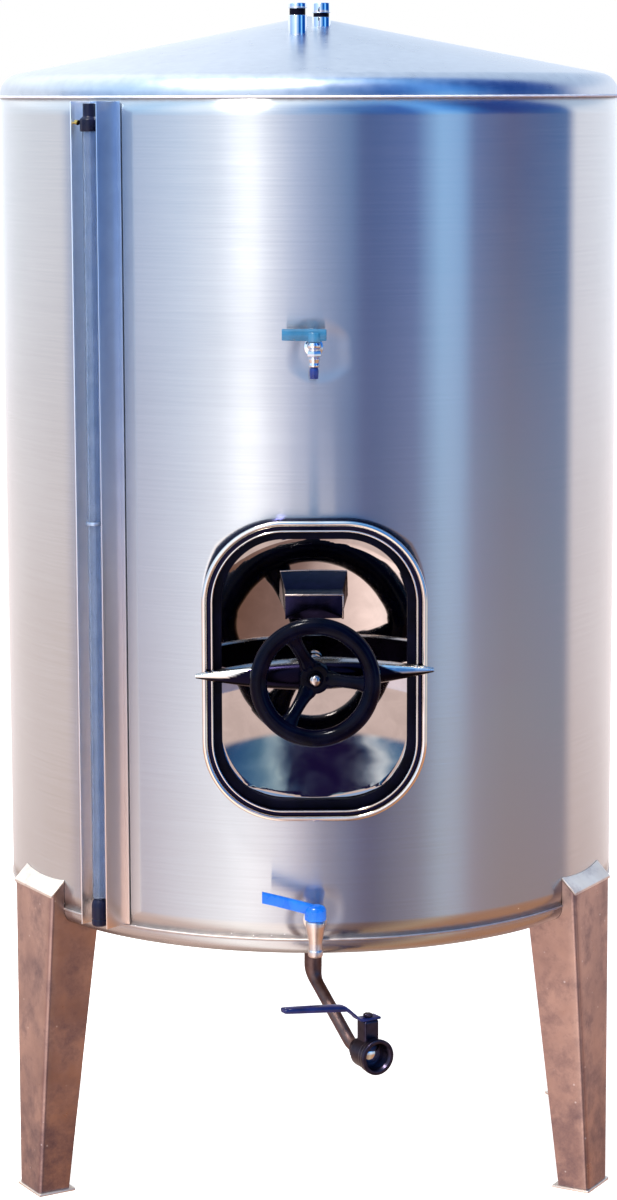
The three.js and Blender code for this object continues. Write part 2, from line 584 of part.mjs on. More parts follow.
// The pipe narrows through its elbow
function pipeSolid(wall, overrun) {
  const path = pipePath();
  const length = path.getLength();
  const wide = pipeTop.distanceTo(pipeElbow) - BEND;
  const stops = [0, 0.5, 1].map((k) => k * wide);
  stops.push(...[6, 12, 18, 26, 34].map((d) => wide + d));
  stops.push(length - 44, length - 30, length - 22, length - 15, length - 8, length);
  const across = new THREE.Vector3(Math.cos(yaw), Math.sin(yaw), 0);
  const narrowing = new THREE.Vector3();
  return skin(stops.map((d, i) => {
    const at = path.getPointAt(d / length);
    const along = path.getTangentAt(d / length);
    if (i === 0) at.addScaledVector(along, -overrun);
    if (i === stops.length - 1) at.addScaledVector(along, overrun);
    const up = narrowing.crossVectors(along, across).normalize().clone();
    const share = THREE.MathUtils.smoothstep(d, wide, wide + 34);
    const radius = THREE.MathUtils.lerp(OUTLET_RADIUS, 9.5, share) - wall;
    return Array.from({ length: 20 }, (_, k) => {
      const angle = (k / 20) * 2 * Math.PI;
      return at.clone().addScaledVector(across, radius * Math.cos(angle))
        .addScaledVector(up, radius * Math.sin(angle));
    });
  }));
}

addPiece('outlet_pipe', pipeSolid(0, 0).subtract(pipeSolid(SHEET, 5)), brushedSteel);

// Outlet valve: made with its flow along -Y, then turned and set in place
const SOCKET = { outer: 27, bore: 18.5, depth: 20 };
const valveBody = bar([0, VALVE_HALF, 0], [0, 10, 0], 15)
  .add(bar([0, 16, 0], [0, -18, 0], 21))
  .add(bar([0, -14, 0], [0, -VALVE_HALF, 0], SOCKET.outer - 2, SOCKET.outer))
  .add(box(-12.5, 12.5, -12.5, 12.5, 10, 51.5))
  .subtract(bar([0, -VALVE_HALF - 1, 0], [0, SOCKET.depth - VALVE_HALF, 0], SOCKET.bore));
const setValve = (solid) => turnTo(solid, OUTLET_YAW).translate(OUTLET_BALL.toArray());
addPiece('outlet_valve_body', setValve(valveBody), brushedSteel);
const outletLever = leverArm([
  [15, 54, 22, 4], [-14, 54, 22, 4], [-26, 66, 18, 4.5], [-38, 79, 18, 5],
  [-46, 80.5, 20, 8], [-140, 87, 20, 8], [-147, 87.5, 16, 6],
]).add(bar([0, 0, 55], [0, 0, 61], 6.5, 6.5, 6));
addPiece('outlet_valve_lever', setValve(outletLever), navySleeve);

export default tank;
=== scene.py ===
"""Looks of the vertical storage tank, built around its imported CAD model.

Shapes are written in millimetres about the shell's axis, +Z up, with the front facing -Y, and are
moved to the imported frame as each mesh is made. Materials read Object coordinates, in metres.
"""

import math

import bmesh
import bpy
import numpy as np
from mathutils import Matrix, Vector


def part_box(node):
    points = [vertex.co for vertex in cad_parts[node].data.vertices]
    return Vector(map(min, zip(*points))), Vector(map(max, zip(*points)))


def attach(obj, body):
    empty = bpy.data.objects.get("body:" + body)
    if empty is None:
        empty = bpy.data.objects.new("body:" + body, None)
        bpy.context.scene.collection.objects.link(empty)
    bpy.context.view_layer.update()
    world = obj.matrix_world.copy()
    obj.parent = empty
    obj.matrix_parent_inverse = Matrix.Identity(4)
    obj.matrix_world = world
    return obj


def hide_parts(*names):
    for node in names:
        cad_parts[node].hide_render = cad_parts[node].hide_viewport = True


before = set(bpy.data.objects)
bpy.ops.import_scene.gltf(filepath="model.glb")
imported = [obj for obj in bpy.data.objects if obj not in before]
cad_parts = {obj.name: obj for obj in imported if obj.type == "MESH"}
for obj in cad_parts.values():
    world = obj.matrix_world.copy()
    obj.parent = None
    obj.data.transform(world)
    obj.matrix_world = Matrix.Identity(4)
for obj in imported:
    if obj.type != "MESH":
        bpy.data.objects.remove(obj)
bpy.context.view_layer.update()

MM = 0.001
roof_low, roof_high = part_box("roof")
AXIS_Y = (roof_low.y + roof_high.y) / 2 / MM

SHELL_RADIUS = 490.0
SHEET = 2.0
SHELL_BOTTOM = 470.0
SHELL_TOP = 1720.0
SEAM_HALF = 2.0
BEAD_PROUD = 1.6
DOOR_Z = 883.0
TAP_OUT = 540.0
GAP = 0.3  # between pieces that are welded or stand against each other
ROUND, HEXAGON = 192, 6


# mesh building

def quads_of(rows, columns, wrap_rows, wrap_columns):
    """Faces of a grid of points, row by row; a wrapped direction joins its last line to its first."""
    r = np.arange(rows if wrap_rows else rows - 1)[:, None]
    c = np.arange(columns if wrap_columns else columns - 1)[None, :]
    r_next, c_next = (r + 1) % rows, (c + 1) % columns
    corners = [r * columns + c, r * columns + c_next, r_next * columns + c_next, r_next * columns + c]
    return np.stack(np.broadcast_arrays(*corners), -1).reshape(-1, 4)


def fan_of(start, count, centre, backwards):
    """Triangles from a ring's points to its centre."""
    i = np.arange(count)
    ahead = start + (i + 1) % count
    here = start + i
    ring = [ahead, here] if backwards else [here, ahead]
    return np.stack([*ring, np.full(count, centre)], -1)


def outward(points, quads, triangles):
    """Turns every face round when the volume that the faces enclose comes out negative."""
    parts = [quads[:, [0, 1, 2]], quads[:, [0, 2, 3]], triangles]
    corners = points[np.concatenate(parts)]
    volume = np.einsum("ij,ij->", corners[:, 0], np.cross(corners[:, 1], corners[:, 2]))
    if volume < 0:
        return points, quads[:, ::-1], triangles[:, ::-1]
    return points, quads, triangles


def tube(rings, wrapped=False):
    """Closed surface through rings of points (ring, point, xyz): capped by fans, or wrapped round."""
    rings = np.asarray(rings, float)
    count, size = rings.shape[:2]
    points = rings.reshape(-1, 3)
    quads = quads_of(count, size, wrapped, True)
    triangles = np.zeros((0, 3), int)
    if not wrapped:
        centres = rings[[0, -1]].mean(1)
        first = fan_of(0, size, len(points), True)
        last = fan_of((count - 1) * size, size, len(points) + 1, False)
        points = np.vstack([points, centres])
        triangles = np.vstack([first, last])
    return outward(points, quads, triangles)


def turned(profile, sides):
    """Closed profile of (radius, height) pairs turned about +Z: x = r sin a, y = -r cos a."""
    profile = np.asarray(profile, float)
    a = np.linspace(0, 2 * np.pi, sides, endpoint=False)[:, None]
    r, z = profile[:, 0][None, :], profile[:, 1][None, :]
    rings = np.stack([r * np.sin(a), -r * np.cos(a), np.broadcast_to(z, (sides, len(profile)))], -1)
    return tube(rings, wrapped=True)


def corner_curves(a, p, b, steps):
    """At each corner p the curve (1-s)^2 a + 2s(1-s) p + s^2 b, for s from 0 to 1."""
    s = np.linspace(0, 1, steps)[None, :, None]
    curve = (1 - s) ** 2 * a[:, None] + 2 * s * (1 - s) * p[:, None] + s ** 2 * b[:, None]
    return curve.reshape(-1, p.shape[1])


def eased(corners, ease, steps=5):
    """Closed outline with its corners curved between the points `ease` before and after each, but
    never past 48 % of a side."""
    p = np.asarray(corners, float)
    ease = np.broadcast_to(np.asarray(ease, float), (len(p),))[:, None]

    def toward(q):
        side = q - p
        length = np.maximum(np.linalg.norm(side, axis=1, keepdims=True), 1e-9)
        return p + side / length * np.minimum(ease, 0.48 * length)

    return corner_curves(toward(np.roll(p, 1, 0)), p, toward(np.roll(p, -1, 0)), steps)


def on_axis_ease(profile, ease):
    """Easing of a turned profile's corners: none where the profile meets the axis."""
    radius = np.asarray(profile, float)[:, 0]
    return np.where(radius < 1e-6, 0.0, ease)


def lathe(profile, ease, sides=64, steps=4):
    """Turned body whose profile has eased corners."""
    return turned(eased(profile, on_axis_ease(profile, ease), steps), sides)


def arc(centre, radius, start, end, steps):
    """Points of an arc: centre + radius (cos a, sin a), for a from start to end in degrees."""
    a = np.radians(np.linspace(start, end, steps))
    return np.stack([centre[0] + radius * np.cos(a), centre[1] + radius * np.sin(a)], -1)


def slab(face, back):
    """Closed thin body between two grids of points (row, column, xyz), its edges joined all round."""
    rows, columns = face.shape[:2]
    count = rows * columns
    index = np.arange(count).reshape(rows, columns)
    edge = np.concatenate([index[0, :-1], index[:-1, -1], index[-1, :0:-1], index[:0:-1, 0]])
    ahead = np.roll(edge, -1)
    grid = quads_of(rows, columns, False, False)
    sides = np.stack([ahead, edge, edge + count, ahead + count], -1)
    quads = np.vstack([grid, grid[:, ::-1] + count, sides])
    points = np.vstack([face.reshape(-1, 3), back.reshape(-1, 3)])
    return outward(points, quads, np.zeros((0, 3), int))


def block(low, high, corner, edge, along=1):
    """Box with eased corners, carried along one axis and rounded off at both ends.

    At angle t from the end face, the outline lies edge (1 - cos t) in from the end and is
    edge (1 - sin t) smaller all round.
    """
    across = [i for i in range(3) if i != along]
    low, high = np.asarray(low, float), np.asarray(high, float)
    (u0, v0), (u1, v1) = low[across], high[across]
    t = np.radians([0, 30, 60, 90])
    inset = edge * (1 - np.sin(t))
    depth = edge * (1 - np.cos(t))
    stations = np.concatenate([low[along] + depth, (high[along] - depth)[::-1]])
    rings = []
    for station, i in zip(stations, np.concatenate([inset, inset[::-1]])):
        outline = eased([(u0 + i, v0 + i), (u1 - i, v0 + i), (u1 - i, v1 - i), (u0 + i, v1 - i)], corner)
        ring = np.empty((len(outline), 3))
        ring[:, across] = outline
        ring[:, along] = station
        rings.append(ring)
    return tube(rings)


def bent_path(points, reach):
    """Path through points, each inner corner curved between the points `reach` before and after."""
    p = np.asarray(points, float)
    corner = p[1:-1]
    reach = np.asarray(reach, float)[:, None]

    def toward(q):
        return corner + (q - corner) / np.linalg.norm(q - corner, axis=1, keepdims=True) * reach

    return np.vstack([p[:1], corner_curves(toward(p[:-2]), corner, toward(p[2:]), 9), p[-1:]])


def travelled(path):
    """Distance along a path at each of its points."""
    return np.concatenate([[0], np.cumsum(np.linalg.norm(np.diff(path, axis=0), axis=1))])


def swept(path, radius, side, sides):
    """Round bar along a path: at each point a ring of radius (cos b) u + (sin b) v, where u is
    `side` made square to the path and v is square to both."""
    path = np.asarray(path, float)
    along = np.gradient(path, axis=0)
    along /= np.linalg.norm(along, axis=1, keepdims=True)
    side = np.asarray(side, float)
    u = side - (along @ side)[:, None] * along
    u /= np.linalg.norm(u, axis=1, keepdims=True)
    v = np.cross(along, u)
    b = np.linspace(0, 2 * np.pi, sides, endpoint=False)[None, :, None]
    r = np.broadcast_to(np.asarray(radius, float), (len(path),))[:, None, None]
    return tube(path[:, None] + r * (np.cos(b) * u[:, None] + np.sin(b) * v[:, None]))


def moved(surface, by=(0, 0, 0), turn=0.0, tilt=None):
    """A surface tilted by a matrix, turned about +Z by degrees, then shifted by mm."""
    points, quads, triangles = surface
    if tilt is not None:
        points = points @ np.asarray(tilt, float).T
    c, s = math.cos(math.radians(turn)), math.sin(math.radians(turn))
    points = points @ np.array([[c, s, 0], [-s, c, 0], [0, 0, 1]]) + np.asarray(by, float)
    return points, quads, triangles


TO_FRONT = np.array([[1, 0, 0], [0, 0, -1], [0, 1, 0]])  # +Z of a turned body becomes -Y
TO_BACK = np.array([[-1, 0, 0], [0, 0, 1], [0, 1, 0]])  # +Z of a turned body becomes +Y
SAME_POINT, NO_LENGTH = 2e-6, 1e-6  # metres


def fill(mesh, surfaces):
    """Puts surfaces in mm into a mesh in metres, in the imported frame, and joins what coincides."""
    points, faces, start = [], [], 0
    for p, quads, triangles in surfaces:
        points.append(p)
        faces += (quads + start).tolist() + (triangles + start).tolist()
        start += len(p)
    placed = (np.vstack(points) + [0, AXIS_Y, 0]) * MM
    mesh.from_pydata(placed.tolist(), [], faces)
    work = bmesh.new()
    work.from_mesh(mesh)
    bmesh.ops.remove_doubles(work, verts=work.verts, dist=SAME_POINT)
    bmesh.ops.dissolve_degenerate(work, dist=NO_LENGTH, edges=work.edges)
    work.to_mesh(mesh)
    work.free()


def mark_painted_light(piece, share):
    """Stores the attribute "share", from 0 to 1, at each point: share(x, y, z) in mm; it places painted
    light.
    """
    points = piece.data.vertices
    at = np.empty(len(points) * 3)
    points.foreach_get("co", at)
    x, y, z = (at.reshape(-1, 3) / MM - [0, AXIS_Y, 0]).T
    piece.data.attributes.new("share", "FLOAT", "POINT").data.foreach_set("value", share(x, y, z))


def smooth_step(value, low, high):
    """3t^2 - 2t^3 with t running from 0 at low to 1 at high."""
    t = np.clip((value - low) / (high - low), 0, 1)
    return t * t * (3 - 2 * t)


def add_piece(name, surfaces, material, nodes=(), body="tank", sharp=38):
    """One piece of the tank, smooth except across edges sharper than `sharp` degrees."""
    mesh = bpy.data.meshes.new(name)
    fill(mesh, surfaces)
    mesh.polygons.foreach_set("use_smooth", np.ones(len(mesh.polygons), bool))
    mesh.set_sharp_from_angle(angle=math.radians(sharp))
    mesh.materials.append(material)
    piece = bpy.data.objects.new(name, mesh)
    bpy.context.scene.collection.objects.link(piece)
    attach(piece, body)
    if nodes:
        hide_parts(*nodes)
    return piece


# materials

def linear(code):
    """sRGB hex to opaque linear RGBA: c/12.92 up to 0.04045, else ((c+0.055)/1.055)^2.4."""
    c = np.array([int(code[i:i + 2], 16) for i in (0, 2, 4)]) / 255
    rgb = np.where(c <= 0.04045, c / 12.92, ((c + 0.055) / 1.055) ** 2.4)
    return (*rgb.tolist(), 1.0)


MIX_FROM, MIX_TO, MIXED = 6, 7, 2  # sockets of a colour Mix: its two inputs and its result


def add_node(tree, kind, inputs=None, stops=(), **settings):
    """Adds one node: settings name its properties; an input is a value or a (node, output) link;
    stops are a colour ramp's (position, hex) pairs."""
    node = tree.nodes.new("ShaderNode" + kind)
    for key, value in settings.items():
        setattr(node, key, value)
    for key, value in (inputs or {}).items():
        if isinstance(value, tuple) and isinstance(value[0], bpy.types.Node):
            tree.links.new(value[0].outputs[value[1]], node.inputs[key])
        else:
            node.inputs[key].default_value = value
    for i, (position, code) in enumerate(stops):
        elements = node.color_ramp.elements
        element = elements[i] if i < 2 else elements.new(position)
        element.position = position
        element.color = linear(code)
    return node


def new_material(name, **constants):
    """Material with one Principled shader; its constants are set on the shader's own sockets."""
    material = bpy.data.materials.new(name)
    material.use_nodes = True
    tree = material.node_tree
    tree.nodes.clear()
    shader = add_node(tree, "BsdfPrincipled")
    for key, value in constants.items():
        shader.inputs[key.replace("_", " ")].default_value = value
    add_node(tree, "OutputMaterial", {"Surface": (shader, "BSDF")})
    place = add_node(tree, "TexCoord")
    return material, tree, shader, (place, "Object")


def finished(material, tree, shader, colour, rough, relief):
    """Joins a material's colour, roughness and relief, each a (node, output) or none, to its shader."""
    for source, socket in ((colour, "Base Color"), (rough, "Roughness"), (relief, "Normal")):
        if source:
            tree.links.new(source[0].outputs[source[1]], shader.inputs[socket])
    return material


def brushed_steel(name, base, light, roughness, grain, anisotropy=0.0, streak=(90, 90, 90), film=0.0,
                  dents=()):
    """Stainless with a grain of `streak` marks to the metre along each axis: 700 up the shell is a
    brushing line every 1.5 mm, coarser than the real ones so that it shows. The film is thin dust,
    which spreads the light widely. A weld at each of `dents` has drawn the sheet in by 1 mm, along
    an uneven ring 30 to 55 mm from it."""
    material, tree, shader, place = new_material(
        name, Metallic=1.0, Anisotropic=anisotropy, Anisotropic_Rotation=0.25,
        Coat_Weight=film, Coat_Roughness=0.62)
    stretch = add_node(tree, "Mapping", {"Vector": place, "Scale": streak})
    fine = add_node(tree, "TexNoise", {"Vector": (stretch, "Vector"), "Scale": 1.0, "Detail": 4.0})
    cloud = add_node(tree, "TexNoise", {"Vector": place, "Scale": 5.0, "Detail": 3.0})
    mixed = add_node(tree, "Math", {0: (fine, "Fac"), 1: (cloud, "Fac")}, operation="ADD")
    tone = add_node(tree, "MapRange", {"Value": (mixed, "Value"), "From Min": 0.75, "From Max": 1.25})
    colour = add_node(tree, "ValToRGB", {"Fac": (tone, "Result")}, [(0.0, base), (1.0, light)])
    rough = add_node(tree, "MapRange", {"Value": (mixed, "Value"), "From Min": 0.7, "From Max": 1.3,
                                        "To Min": roughness * 0.88, "To Max": roughness * 1.12})
    relief = add_node(tree, "Bump", {"Height": (fine, "Fac"), "Strength": grain, "Distance": 0.0002})
    for weld in dents:
        reach = add_node(tree, "VectorMath", {0: place, 1: weld}, operation="DISTANCE")
        heat = add_node(tree, "TexNoise", {"Vector": place, "Scale": 13.0, "Detail": 1.0})
        uneven = add_node(tree, "Math", {0: (heat, "Fac"), 1: 0.045, 2: (reach, "Value")},
                          operation="MULTIPLY_ADD")
        rise = add_node(tree, "MapRange", {
            "Value": (uneven, "Value"), "From Min": 0.050, "From Max": 0.076},
            interpolation_type="SMOOTHERSTEP")
        relief = add_node(tree, "Bump", {"Height": (rise, "Result"), "Normal": (relief, "Normal"),
                                         "Strength": 1.0, "Distance": 0.001})
    return finished(material, tree, shader, (colour, "Color"), (rough, "Result"), (relief, "Normal"))


def handled_steel(name, base, light, stain, roughness, low_darkening=0.0):
    """Folded stainless dulled by handling: clouded stains some 60 mm across, more of them in the
    lowest 200 mm, so that it darkens towards the floor, and pale specks of lime every 15 mm or so."""
    material, tree, shader, place = new_material(name, Metallic=1.0, Coat_Weight=0.5, Coat_Roughness=0.6)
    fine = add_node(tree, "TexNoise", {"Vector": place, "Scale": 260.0, "Detail": 3.0})
    cloud = add_node(tree, "TexNoise", {"Vector": place, "Scale": 9.0, "Detail": 7.0, "Roughness": 0.6})
    sheet = add_node(tree, "ValToRGB", {"Fac": (cloud, "Fac")}, [(0.35, base), (0.6, light)])
    height = add_node(tree, "SeparateXYZ", {"Vector": place})
    low = add_node(tree, "MapRange", {"Value": (height, "Z"), "From Min": 0.0, "From Max": 0.2,
                                      "To Min": low_darkening, "To Max": 0.0})
    smudge = add_node(tree, "TexNoise", {"Vector": place, "Scale": 17.0, "Detail": 8.0, "Roughness": 0.7})
    worn = add_node(tree, "Math", {0: (smudge, "Fac"), 1: (low, "Result")}, operation="ADD")
    dirt = add_node(tree, "MapRange", {"Value": (worn, "Value"), "From Min": 0.5, "From Max": 0.74,
                                       "To Min": 0.0, "To Max": 0.8})
    stained = add_node(tree, "Mix", {
        "Factor": (dirt, "Result"), MIX_FROM: (sheet, "Color"), MIX_TO: linear(stain)}, data_type="RGBA")
    speck = add_node(tree, "TexVoronoi", {"Vector": place, "Scale": 65.0})
    dot = add_node(tree, "MapRange", {"Value": (speck, "Distance"), "From Min": 0.06, "From Max": 0.14,
                                      "To Min": 0.7, "To Max": 0.0})
    chance = add_node(tree, "MapRange", {"Value": (speck, "Color"), "From Min": 0.66, "From Max": 0.68})
    shown = add_node(tree, "Math", {0: (dot, "Result"), 1: (chance, "Result")}, operation="MULTIPLY")
    colour = add_node(tree, "Mix", {
        "Factor": (shown, "Value"), MIX_FROM: (stained, MIXED), MIX_TO: linear("e6dcda")}, data_type="RGBA")
    rough = add_node(tree, "MapRange", {"Value": (smudge, "Fac"), "From Min": 0.35, "From Max": 0.7,
                                        "To Min": roughness * 0.85, "To Max": roughness * 1.4})
    relief = add_node(tree, "Bump", {"Height": (fine, "Fac"), "Strength": 0.15, "Distance": 0.0003})
    return finished(material, tree, shader, (colour, MIXED), (rough, "Result"), (relief, "Normal"))


def polished_steel(name, base, light, roughness, wiping=0.4, painted_tone=None):
    """Mirror-polished metal: nearly even, with faint wiping marks some 30 mm across. Where the
    piece's own attribute "share" is 1 its colour is the second colour given, which is painted light:
    the rim groove's painted shade, the clamp's painted reflection and the channel's painted reflection."""
    material, tree, shader, place = new_material(name, Metallic=1.0)
    smear = add_node(tree, "TexNoise", {"Vector": place, "Scale": 30.0, "Detail": 4.0, "Distortion": 0.6})
    colour = add_node(tree, "ValToRGB", {"Fac": (smear, "Fac")}, [(0.35, base), (0.65, light)]), "Color"
    if painted_tone:
        where = add_node(tree, "Attribute", attribute_name="share")
        colour = add_node(tree, "Mix", {
            "Factor": (where, "Fac"), MIX_FROM: colour, MIX_TO: linear(painted_tone)}, data_type="RGBA"), MIXED
    rough = add_node(tree, "MapRange", {
        "Value": (smear, "Fac"), "From Min": 0.3, "From Max": 0.7,
        "To Min": roughness * (1 - wiping), "To Max": roughness * (1 + wiping)})
    return finished(material, tree, shader, colour, (rough, "Result"), None)


def moulded(name, base, light, roughness, **constants):
    """Moulded or dipped plastic and rubber: even colour, with a grain of about 1 mm in its relief."""
    material, tree, shader, place = new_material(name, **constants)
    fine = add_node(tree, "TexNoise", {"Vector": place, "Scale": 900.0, "Detail": 2.0})
    cloud = add_node(tree, "TexNoise", {"Vector": place, "Scale": 40.0, "Detail": 3.0})
    colour = add_node(tree, "ValToRGB", {"Fac": (cloud, "Fac")}, [(0.35, base), (0.65, light)])
    rough = add_node(tree, "MapRange", {"Value": (cloud, "Fac"), "From Min": 0.3, "From Max": 0.7,
                                        "To Min": roughness * 0.8, "To Max": roughness * 1.25})
    relief = add_node(tree, "Bump", {"Height": (fine, "Fac"), "Strength": 0.15, "Distance": 0.0002})
    return finished(material, tree, shader, (colour, "Color"), (rough, "Result"), (relief, "Normal"))


WALL_Y = (AXIS_Y - SHELL_RADIUS) * MM
SAMPLE_WELD, DRAIN_WELD = (0.0, WALL_Y, 1.352), (0.0, WALL_Y, 0.515)
# Cold-rolled stainless sheet, brushed round the tank: bright bands run up it
shell_steel = brushed_steel("brushed_stainless_sheet", "bdc0c3", "c4c7ca", 0.19, 0.01, 1.0, (6, 6, 700),
                            film=1.0, dents=[SAMPLE_WELD, DRAIN_WELD])
# The same sheet, spun for the roof: its satin grain has no one direction
roof_steel = brushed_steel("satin_stainless_roof", "bcc2cb", "cbd0d7", 0.3, 0.05, 0.0, (60, 60, 60))
# Weld filed flush: brighter and warmer than the sheet beside it
weld_steel = brushed_steel("filed_stainless_weld", "cabbb2", "dccec6", 0.5, 0.3)
# The roof's weld, brighter than the sheet can be: a thin white line, a painted highlight
weld_highlight_steel = brushed_steel("stainless_weld_painted_highlight", "eceef2", "f8f8fa", 0.75, 0.3)
# Folded 3 mm stainless: pinkish brown, stained and specked
leg_steel = handled_steel("folded_stainless_leg", "987c76", "bc9c90", "6c5458", 0.32, low_darkening=0.16)
# Sheared stainless plate of covers and feet: paler, with fewer marks
plate_steel = handled_steel("sheared_stainless_plate", "e8d8c8", "f6eadc", "bca69a", 0.45)
# Electropolished stainless of the door, its spindle and cap: a clean mirror, faintly wiped
mirror_steel = polished_steel("mirror_polished_stainless", "bab2b0", "c6bebc", 0.03)
# Polished stainless of the door's rim: its beads a bright cream, a painted highlight, and all set more than
# 4 mm behind their crest, the groove and the lip, painted navy as painted shade
rim_painted_steel = polished_steel("polished_stainless_rim_painted", "ecdfd2", "f4eadf", 0.1, painted_tone="1c1c34")
# Cast stainless of the clamp, polished: a bright cream as the painted highlight along its ridge, and
# near-black as the painted dark reflection on its body
clamp_painted_steel = polished_steel("polished_cast_clamp", "efe2d4", "f8efe4", 0.24, painted_tone="110e1e")
# Chrome-plated brass of the sample tap, and of the roof's fittings and the outlet's ball, which
# look the same: bright and cool, with hard black lines
tap_chrome = polished_steel("chrome_plated_brass", "dee4ee", "eaeef4", 0.05)
# Drawn stainless channel, polished along its length: a blue tint, and paler and warmer towards its foot,
# both painted reflection of the sky above and the ground below
channel_reflection_steel = polished_steel("drawn_stainless_channel", "aabcd4", "b4c6dc", 0.34, 0.0, painted_tone="fff4ee")
# The channel's left side, painted near-white as a painted reflection
pale_reflection_steel = polished_steel("painted_pale_stainless", "f2f3f6", "fafafc", 0.4, 0.0)
# Bent sheet of the door's bracket: stainless painted navy-black as painted shade
bracket_shade_steel = brushed_steel("satin_bracket_painted_shade", "1c1a30", "2a2642", 0.2, 0.1)
# The same sheet along its top and right edges: a bright narrow painted highlight
edge_highlight_steel = brushed_steel("bracket_edge_painted_highlight", "b8a8a0", "cabab0", 0.3, 0.1)
# Stainless pipe, darkened to a brown as painted shade of the tank above it
pipe_shade_steel = brushed_steel("stainless_pipe_painted_shade", "5e4a48", "7c645e", 0.46, 0.2)
# Cast body of the outlet valve, painted near-black as painted shade of the tank above it
valve_shade_steel = brushed_steel("cast_valve_painted_shade", "2a2636", "403a4a", 0.3, 0.3, 0.0, (120, 120, 120))
# Bright turned stainless of the drain tap's barrel: pale and soft
barrel_steel = brushed_steel("turned_stainless_barrel", "e0d4cc", "eee4dc", 0.38, 0.05)
# Moulded phenolic of the handwheel, glossy and nearly black
wheel_black = moulded("moulded_phenolic_black", "01010a", "030414", 0.13, Specular_IOR_Level=0.07)
# Moulded nylon of the gauge's fittings: duller than the wheel
fitting_black = moulded("moulded_nylon_black", "080a1e", "10122e", 0.3, Specular_IOR_Level=0.25)
# Pressed rubber of the door's seal: dull navy black
rubber_black = moulded("pressed_rubber_black", "04040f", "08081c", 0.55, Specular_IOR_Level=0.05)
# Dipped vinyl sleeves of the levers: soft gloss over even colour
azure_sleeve = moulded("dipped_vinyl_azure", "0860cc", "0e70dc", 0.3)
teal_sleeve = moulded("dipped_vinyl_teal", "22587c", "2f6e96", 0.14, Specular_IOR_Level=0.9)
navy_sleeve = moulded("dipped_vinyl_navy", "080f38", "101a5a", 0.32)
# Moulded end of the sample tap's spout: deep even blue
spout_blue = moulded("moulded_spout_blue", "0a2060", "12307c", 0.3)
# Turned brass of the gauge's vent, rubbed bright
brass = polished_steel("turned_brass", "c9a54a", "e0c26a", 0.25)
# Extruded acrylic of the gauge's tube: clear, with a blue-grey cast
gauge_clear = moulded("extruded_acrylic_tube", "a8bcd8", "b8c8e0", 0.05, IOR=1.49, Transmission_Weight=0.9)


# shell and ends

RIM_CORNER, RIM_HALF_WIDTH, RIM_HALF_HEIGHT = 122.0, 166.0, 224.5
CORNER_STEPS, SIDE_STEPS = 24, 6


def rim_outline(offset, y):
    """The manway's rounded oblong, `offset` mm outside the rim's outline, at depth y, as (n, 3)."""
    corner = RIM_CORNER + offset
    half_w, half_h = RIM_HALF_WIDTH + offset - corner, RIM_HALF_HEIGHT + offset - corner
    corners = [arc((sx * half_w, sz * half_h), corner, start, start + 90, CORNER_STEPS)
               for sx, sz, start in ((1, 1, 0), (-1, 1, 90), (-1, -1, 180), (1, -1, 270))]
    sides = [np.linspace(corners[i][-1], corners[(i + 1) % 4][0], SIDE_STEPS + 2)[1:-1] for i in range(4)]
    line = np.vstack([part for pair in zip(corners, sides) for part in pair])
    return np.stack([line[:, 0], np.full(len(line), float(y)), DOOR_Z + line[:, 1]], -1)


def wall_points(angle, z):
    """On the shell's outside: x = R sin a, y = -R cos a."""
    return np.stack([SHELL_RADIUS * np.sin(angle), -SHELL_RADIUS * np.cos(angle), z], -1)


def rolled_wall():
    """The shell's outside as a grid of angle and height, with a patch of rings round the manway.

    A ring of the patch lies between the opening's outline and the edge of the window left in the
    grid: at share t its (angle, height) is (1-t) outline + t edge, taken in the same direction
    from the door's middle.
    """
    columns, rows, half_window, half_height = 240, 50, 18, 270
    angle = np.linspace(-np.pi, np.pi, columns, endpoint=False)
    z = np.linspace(SHELL_BOTTOM + SEAM_HALF, SHELL_TOP - SEAM_HALF, rows + 1)
    grid = wall_points(*np.meshgrid(angle, z, indexing="ij"))
    quads = quads_of(columns, rows + 1, True, False)
    column, row = quads[:, 0] // (rows + 1), quads[:, 0] % (rows + 1)
    left, right = columns // 2 - half_window, columns // 2 + half_window
    low = int(np.searchsorted(z, DOOR_Z - half_height)) - 1
    high = int(np.searchsorted(z, DOOR_Z + half_height))
    inside = (column >= left) & (column < right) & (row >= low) & (row < high)
    quads = quads[~inside]
    c, r = np.arange(left, right), np.arange(low, high)
    edge = np.vstack([
        np.stack([angle[c], np.full(len(c), z[low])], -1),
        np.stack([np.full(len(r), angle[right]), z[r]], -1),
        np.stack([angle[c[::-1] + 1], np.full(len(c), z[high])], -1),
        np.stack([np.full(len(r), angle[left]), z[r[::-1] + 1]], -1),
    ])
    hole = rim_outline(-6 + GAP, 0)
    hole_at = np.stack([np.arcsin(hole[:, 0] / SHELL_RADIUS) * SHELL_RADIUS, hole[:, 2] - DOOR_Z], -1)
    bearing = np.arctan2(hole_at[:, 1], hole_at[:, 0])
    order = np.argsort(bearing)
    edge_at = np.stack([edge[:, 0] * SHELL_RADIUS, edge[:, 1] - DOOR_Z], -1)
    towards = np.arctan2(edge_at[:, 1], edge_at[:, 0])
    reach = np.interp(towards, bearing[order], np.linalg.norm(hole_at, axis=1)[order], period=2 * np.pi)
    rim = np.stack([np.cos(towards), np.sin(towards)], -1) * reach[:, None]
    t = np.linspace(0, 1, 10)[:, None, None]
    rings = (1 - t) * rim[None] + t * edge_at[None]
    patch = wall_points(rings[..., 0] / SHELL_RADIUS, rings[..., 1] + DOOR_Z)
    patch_quads = quads_of(len(patch), patch.shape[1], False, True)
    none = np.zeros((0, 3), int)
    return [(grid.reshape(-1, 3), quads[:, ::-1], none),
            (patch.reshape(-1, 3), patch_quads[:, ::-1], none)]


